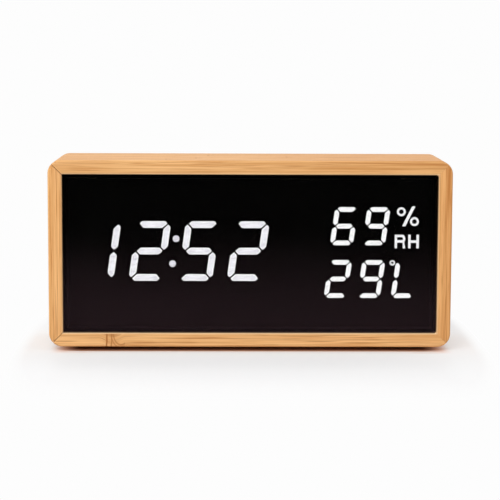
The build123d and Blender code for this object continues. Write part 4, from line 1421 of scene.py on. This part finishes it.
@dataclass
class BatteryPack:
    """Three cells, their contacts, springs and leads."""

    wire: float = 0.5 * MM
    base_radius: float = 3.4 * MM
    top_radius: float = 2.0 * MM
    turns: float = 4.0
    end_ease: float = 0.75
    steps_per_turn: int = 40
    wire_sides: int = 10
    lead_straight: float = 0.08
    lead_steps: int = 40
    lead_sides: int = 20
    springs: Tuple[Tuple[str, str], ...] = (
        ("battery_cell_1", "battery_bridge_outer"),
        ("battery_cell_2", "battery_bridge_inner"),
        ("battery_cell_3", "battery_negative_contact"),
    )
    contacts: Tuple[str, ...] = ("battery_positive_contact", "battery_negative_contact",
                                 "battery_bridge_inner", "battery_bridge_outer")

    @staticmethod
    def flat_and_nub(cell: str, contact: str) -> Pair:
        """X of a cell's flat end, which faces the contact with its spring, and of its nub's tip."""
        left, right = span(cell, 0)
        return (left, right) if middle_of(contact).x < middle_of(cell).x else (right, left)

    def spring_path(self, cell: str, contact: str) -> np.ndarray:
        """Middle line of a conical spring from a contact to the flat end of a cell.

        The line turns about the cell's axis while its radius shrinks evenly. Its rise is the part
        of the turns less a sine, so that the end turns lie close.

        Args:
            cell: The cell's node.
            contact: The contact's node.

        Returns:
            Points of shape (n, 3).
        """
        axis = middle_of(cell)
        flat, nub = self.flat_and_nub(cell, contact)
        inset = math.copysign(self.wire / 2, nub - flat)
        start = span(contact, 0)[1 if nub > flat else 0] + inset
        part = np.linspace(0.0, 1.0, int(self.turns * self.steps_per_turn) + 1)
        eased = part - self.end_ease * np.sin(2 * np.pi * part) / (2 * np.pi)
        radius = self.base_radius + (self.top_radius - self.base_radius) * part
        angle = 2 * np.pi * self.turns * part
        return np.stack([start + (flat - inset - start) * eased, axis.y + radius * np.cos(angle),
                         axis.z + radius * np.sin(angle)], axis=-1)

    def spring_piece(self) -> bpy.types.Object:
        """Make the three springs as one piece: tubes along their paths.

        Returns:
            The piece.
        """
        shells = Shells()
        for cell, contact in self.springs:
            path = self.spring_path(cell, contact)
            outward = path - np.array(middle_of(cell))
            outward[:, 0] = 0.0
            shells.add(tube(path, outward, self.wire / 2, self.wire_sides))
        return shells.piece("contact_springs", True)

    def lead_piece(self, node: str, rises: bool) -> bpy.types.Object:
        """Make one lead: a tube whose middle line eases sideways between its two ends.

        Args:
            node: The lead's node, whose box it fills.
            rises: Whether it lands higher on the board than it starts.

        Returns:
            The piece.
        """
        low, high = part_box(node)
        radius = (high.x - low.x) / 2
        part = np.linspace(0.0, 1.0, self.lead_steps)
        ends = (low.z + radius, high.z - radius) if rises else (high.z - radius, low.z + radius)
        eased = smooth_step((part - self.lead_straight) / (1 - 2 * self.lead_straight))
        path = np.stack([np.full_like(part, low.x + radius), high.y + (low.y - high.y) * part,
                         ends[0] + (ends[1] - ends[0]) * eased], axis=-1)
        rings = tube(path, np.array((1.0, 0.0, 0.0)), radius, self.lead_sides)
        return Shells(rings).piece(node + "_wire", True)

    def build(self) -> None:
        """Make the springs and leads, and dress the rest."""
        plated = NICKEL.material("spring_wire")
        settle(self.spring_piece(), plated, "battery_springs")
        leads = (("battery_lead_red", False, srgb(176, 30, 26), "red_insulation"),
                 ("battery_lead_black", True, srgb(26, 26, 26), "black_insulation"))
        for node, rises, colour, slot in leads:
            skin = Moulded(colour, 0.5, grain=1500.0, depth=0.02 * MM, spread=0.3)
            settle(self.lead_piece(node, rises), skin.material(node + "_skin"), node)
        for cell, contact in self.springs:
            flat, nub = self.flat_and_nub(cell, contact)
            dress({cell: CellJacket(srgb(44, 58, 70), 0.35, nub=nub, flat=flat)})
        dress({name: NICKEL for name in self.contacts})


# Boards

MASK_GREEN = CircuitBoard(srgb(24, 86, 44), 0.4)
CHIP = Moulded(srgb(26, 26, 27), 0.6, grain=2400.0)
TINNED = DrawnMetal(srgb(200, 200, 198), 0.3)
SOCKET_PLASTIC = Moulded(srgb(20, 20, 20), 0.55)


@dataclass
class MainBoard:
    """The main board, its parts and the flat cable to the key board."""

    cable_thickness: float = 0.7 * MM
    wires: int = 8
    points_per_wire: int = 8
    path_steps: int = 72
    groove: float = 0.45

    def cable_piece(self) -> bpy.types.Object:
        """Make the flat cable: a grooved strip carried along a run, a half turn and a run back.

        The strip's half thickness follows the wires in it: a share of it is taken off between two
        wires as the fourth power of the cosine.

        Returns:
            The piece.
        """
        low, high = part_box("ribbon_cable")
        half = self.cable_thickness / 2
        radius = (high.y - low.y - self.cable_thickness) / 2
        run = high.x - half - radius - low.x
        turn = np.pi * radius
        way = np.linspace(0.0, 2 * run + turn, self.path_steps)
        angle = np.clip((way - run) / radius, 0.0, np.pi)
        back = np.clip(way - run - turn, 0.0, None)
        x = low.x + np.minimum(way, run) + radius * np.sin(angle) - back
        y = (low.y + high.y) / 2 - radius * np.cos(angle)
        across = np.linspace(0.0, 1.0, self.wires * self.points_per_wire + 1)
        thick = half * (1 - self.groove * np.cos(np.pi * self.wires * across) ** 4)
        z = low.z + (high.z - low.z) * across
        out = np.concatenate([thick, -thick[::-1]])
        rings = np.empty((self.path_steps, len(out), 3))
        rings[..., 0] = x[:, None] + np.sin(angle)[:, None] * out
        rings[..., 1] = y[:, None] - np.cos(angle)[:, None] * out
        rings[..., 2] = np.concatenate([z, z[::-1]])
        return Shells(rings).piece("flat_cable")

    def build(self) -> None:
        """Make the flat cable and dress the rest."""
        skin = Moulded(srgb(158, 158, 160), 0.55, grain=1200.0, depth=0.02 * MM, spread=0.25)
        grey = skin.material("flat_cable_skin")
        settle(self.cable_piece(), grey, "ribbon_cable")
        dress({
            "main_board": MASK_GREEN,
            "main_board_screws": ZINC,
            "controller_chip": CHIP,
            "driver_chip": CHIP,
            "crystal_can": TINNED,
            "capacitors": DrawnMetal(srgb(196, 196, 194), 0.3, scale=(1200.0, 60.0, 1200.0)),
            "ribbon_socket_main": SOCKET_PLASTIC,
            "ribbon_socket_key": SOCKET_PLASTIC,
        })


@dataclass
class KeyBoard:
    """The key board with its keys, switches, charging socket, sensors and buzzer."""

    keys: Tuple[str, ...] = ("set", "up", "down")
    icon_depth: float = 0.25 * MM

    def build(self) -> None:
        """Dress every node of the key board, each key cap with its icon painted."""
        for key in self.keys:
            cap = key + "_button"
            centre = middle_of(cap)
            floor = span(cap, 1)[1] - self.icon_depth
            dress({
                cap: KeyCap(srgb(38, 38, 40), 0.45, grain=2000.0, middle=(centre.x, centre.z),
                            floor=floor),
                key + "_plunger": Moulded(srgb(222, 216, 200), 0.5),
            })
        dress({
            "key_board": MASK_GREEN,
            "key_board_screws": ZINC,
            "tact_switch_bases": SOCKET_PLASTIC,
            "tact_switch_covers": TINNED,
            "usb_shell": DrawnMetal(srgb(198, 198, 196), 0.28, scale=(1800.0, 80.0, 1800.0)),
            "usb_tongue": SOCKET_PLASTIC,
            "humidity_sensor": Moulded(srgb(196, 208, 220), 0.5, grain=1600.0),
            "thermistor": Moulded(srgb(58, 46, 36), 0.35, grain=1200.0),
            "buzzer": Moulded(srgb(24, 24, 24), 0.5, grain=2200.0),
        })


# Studio


@dataclass(frozen=True)
class SoftBox:
    """A soft light: its place, the point that it faces, its width and height, and its watts."""

    name: str
    place: Triple
    aim: Triple
    size: Pair
    power: float

    def hang(self) -> None:
        """Add the light to the scene."""
        data = bpy.data.lights.new(self.name, "AREA")
        data.shape = "RECTANGLE"
        data.size, data.size_y = self.size
        data.energy = self.power
        light = stand(self.name, data)
        light.location = self.place
        way = Vector(self.aim) - Vector(self.place)
        light.rotation_euler = way.to_track_quat("-Z", "Y").to_euler()


@dataclass
class Studio:
    """Floor and backdrop in one sweep, soft lights, and the camera at the photograph's place."""

    half_width: float = 2.5
    floor_front: float = -1.6
    floor_back: float = 0.9
    sweep_radius: float = 0.6
    wall_height: float = 1.8
    sweep_steps: int = 24
    white: Colour = srgb(253, 253, 253)
    paper: Tuple[Colour, Colour] = (srgb(244, 244, 245), srgb(247, 247, 247))
    tooth_scale: float = 700.0
    # Painted shade: the paper is darker under the case.
    under: Colour = srgb(192, 150, 124)
    painted_shade_ends: Pair = (63.0 * MM, 75.0 * MM)
    side_ends: Pair = (65.0 * MM, 75.5 * MM)
    side_shift: float = 0.6 * MM
    # Painted bounce light: the plain white turns warm at the ends of the gap below the case.
    painted_bounce_colour: Colour = srgb(253, 172, 134)
    painted_bounce_band: Triple = (66.0 * MM, 2.5 * MM, 7.5 * MM)
    side_from: float = 69.0 * MM
    side_gain: float = 4.5
    near_share: float = 0.42
    near_kept: float = 0.05
    near_from: float = 1.2 * MM
    near_to: float = 6.0 * MM
    near_out: float = 33.0 * MM
    far: Pair = (45.0 * MM, 88.0 * MM)
    sky: float = 0.45
    lights: Tuple[SoftBox, ...] = (
        SoftBox("overhead_box", (0.05, 0.12, 0.75), (0.0, 0.0, 0.03), (0.7, 0.5), 2.05),
        SoftBox("front_box", (-0.3, -0.85, 0.85), (0.0, 0.0, 0.04), (0.9, 0.6), 7.6),
    )
    lens: float = 125.23
    sensor: float = 36.0
    clip_start: float = 0.01
    camera_place: Triple = (-8.93 * MM, -661.0 * MM, 116.74 * MM)
    pitch: float = math.radians(6.996)
    yaw: float = math.radians(0.790)
    roll: float = math.radians(0.221)

    @staticmethod
    def seen(tree: Tree) -> Wire:
        """1 for what is seen, straight, mirrored or through glass, and 0 for light on its way."""
        path = tree.wires("LightPath")
        return path["Is Camera Ray"] | path["Is Glossy Ray"] | path["Is Transmission Ray"]

    def shade(self, tree: Tree, place: Wire) -> Tuple[Wire, Wire, Wire]:
        """Shade on the floor by the distance from the part's outline, counted sooner at its sides.

        Args:
            tree: The floor material's tree.
            place: The place on the floor.

        Returns:
            The share of plain white in what is seen, 1 for floor under the part, which gets painted
            shade, and 1 where the ends of the gap below the case get painted warm bounce light in
            the wood's colour.
        """
        x, y, _ = tree.parts(place)
        off_x = abs(x - self.side_shift)
        past_x = off_x - self.side_from | 0.0
        past_y = abs(y) - cad_box[1].y | 0.0
        away = tree.length(self.side_gain * past_x, past_y)
        front = tree.fade(past_y, self.near_from, self.near_to)
        drop = (1.0 - self.near_kept) * tree.fade(past_y, self.near_to, self.near_out)
        near = front * (1.0 - drop) | tree.fade(off_x, *self.side_ends)
        share = self.near_share * near | tree.fade(away, *self.far)
        # Painted shade lies on the floor under the case, and painted warm bounce light lies at the
        # gap's ends.
        open_floor = tree.fade(off_x, *self.painted_shade_ends) | tree.fade(past_y, 0.0, self.near_from)
        return share, 1.0 - open_floor, tree.band(off_x, *self.painted_bounce_band) * (1.0 - front)

    def floor_material(self) -> bpy.types.Material:
        """Make white paper that takes the shadow near the part and is seen as plain white beyond.

        It has painted shade under the case and painted warm bounce light at the ends of the gap
        below it.

        Returns:
            The material.
        """
        material = bpy.data.materials.new("studio_paper")
        tree = Tree(bare_nodes(material))
        place = tree.wire("TexCoord", output="Object")
        share, under, glow = self.shade(tree, place)
        paper = tree.mix(tree.noise(place, self.tooth_scale), *self.paper)
        # Painted shade darkens the paper under the case.
        lit = tree.wire("BsdfDiffuse", {"Color": tree.mix(under, paper, self.under)})
        # Painted bounce light warms the plain white at the ends of the gap below the case.
        plain = tree.wire("Emission", {"Color": tree.mix(glow, self.white, self.painted_bounce_colour)})
        surface = tree.wire("MixShader", {0: share * self.seen(tree), 1: lit, 2: plain})
        tree.add("OutputMaterial", {"Surface": surface})
        return material

    def build_floor(self) -> None:
        """Make the sweep: a flat floor, a quarter turn and a wall, carried across the room."""
        angle = np.linspace(0.0, np.pi / 2, self.sweep_steps)
        wall = self.floor_back + self.sweep_radius
        sweep = self.floor_back + self.sweep_radius * np.sin(angle)
        y = np.concatenate([[self.floor_front], sweep, [wall]])
        z = np.concatenate([[0.0], self.sweep_radius * (1 - np.cos(angle)), [self.wall_height]])
        points = np.concatenate([np.column_stack([np.full_like(y, side), y, z])
                                 for side in (-self.half_width, self.half_width)])
        step = np.arange(len(y) - 1)
        faces = np.stack([step, step + 1, step + 1 + len(y), step + len(y)], axis=-1)
        mesh = bpy.data.meshes.new("studio_sweep")
        mesh.from_pydata(points.tolist(), [], faces.tolist())
        mesh.polygons.foreach_set("use_smooth", np.full(len(mesh.polygons), True))
        mesh.materials.append(self.floor_material())
        stand("studio_sweep", mesh)

    def build_world(self) -> None:
        """Make even white light from all round, plain white where it is seen."""
        world = bpy.data.worlds.new("studio_room")
        tree = Tree(bare_nodes(world))
        strength = (1.0 - self.sky) * self.seen(tree) + self.sky
        room = tree.wire("Background", {"Color": self.white, "Strength": strength})
        tree.add("OutputWorld", {"Surface": room})
        bpy.context.scene.world = world

    def build_camera(self) -> None:
        """Set the camera from its turn, tilt and roll."""
        level, down = math.cos(self.pitch), math.sin(self.pitch)
        ahead = Vector((math.sin(self.yaw) * level, math.cos(self.yaw) * level, -down))
        right = Vector((math.cos(self.yaw), -math.sin(self.yaw), 0.0))
        up = right.cross(ahead)
        rolled = math.cos(self.roll) * right + math.sin(self.roll) * up
        upward = math.cos(self.roll) * up - math.sin(self.roll) * right
        data = bpy.data.cameras.new("photo_camera")
        data.sensor_fit = "HORIZONTAL"
        data.sensor_width = self.sensor
        data.lens = self.lens
        data.clip_start = self.clip_start
        camera = stand("photo_camera", data)
        turn = Matrix((rolled, upward, -ahead)).transposed()
        camera.matrix_world = Matrix.Translation(self.camera_place) @ turn.to_4x4()
        bpy.context.scene.camera = camera

    def build(self) -> None:
        """Set up the room, the lights and the camera."""
        self.build_floor()
        self.build_world()
        for light in self.lights:
            light.hang()
        self.build_camera()
        bpy.context.scene.view_settings.view_transform = "Standard"


def main() -> None:
    """Build and dress every sub-assembly, then the studio."""
    logging.basicConfig(level=logging.INFO, format="%(message)s")
    for assembly in (WoodenCase(), Display(), RearCover(), BatteryPack(), MainBoard(), KeyBoard()):
        log.info("building %s", type(assembly).__name__)
        assembly.build()
    Studio().build()


if __name__ == "__main__":
    main()
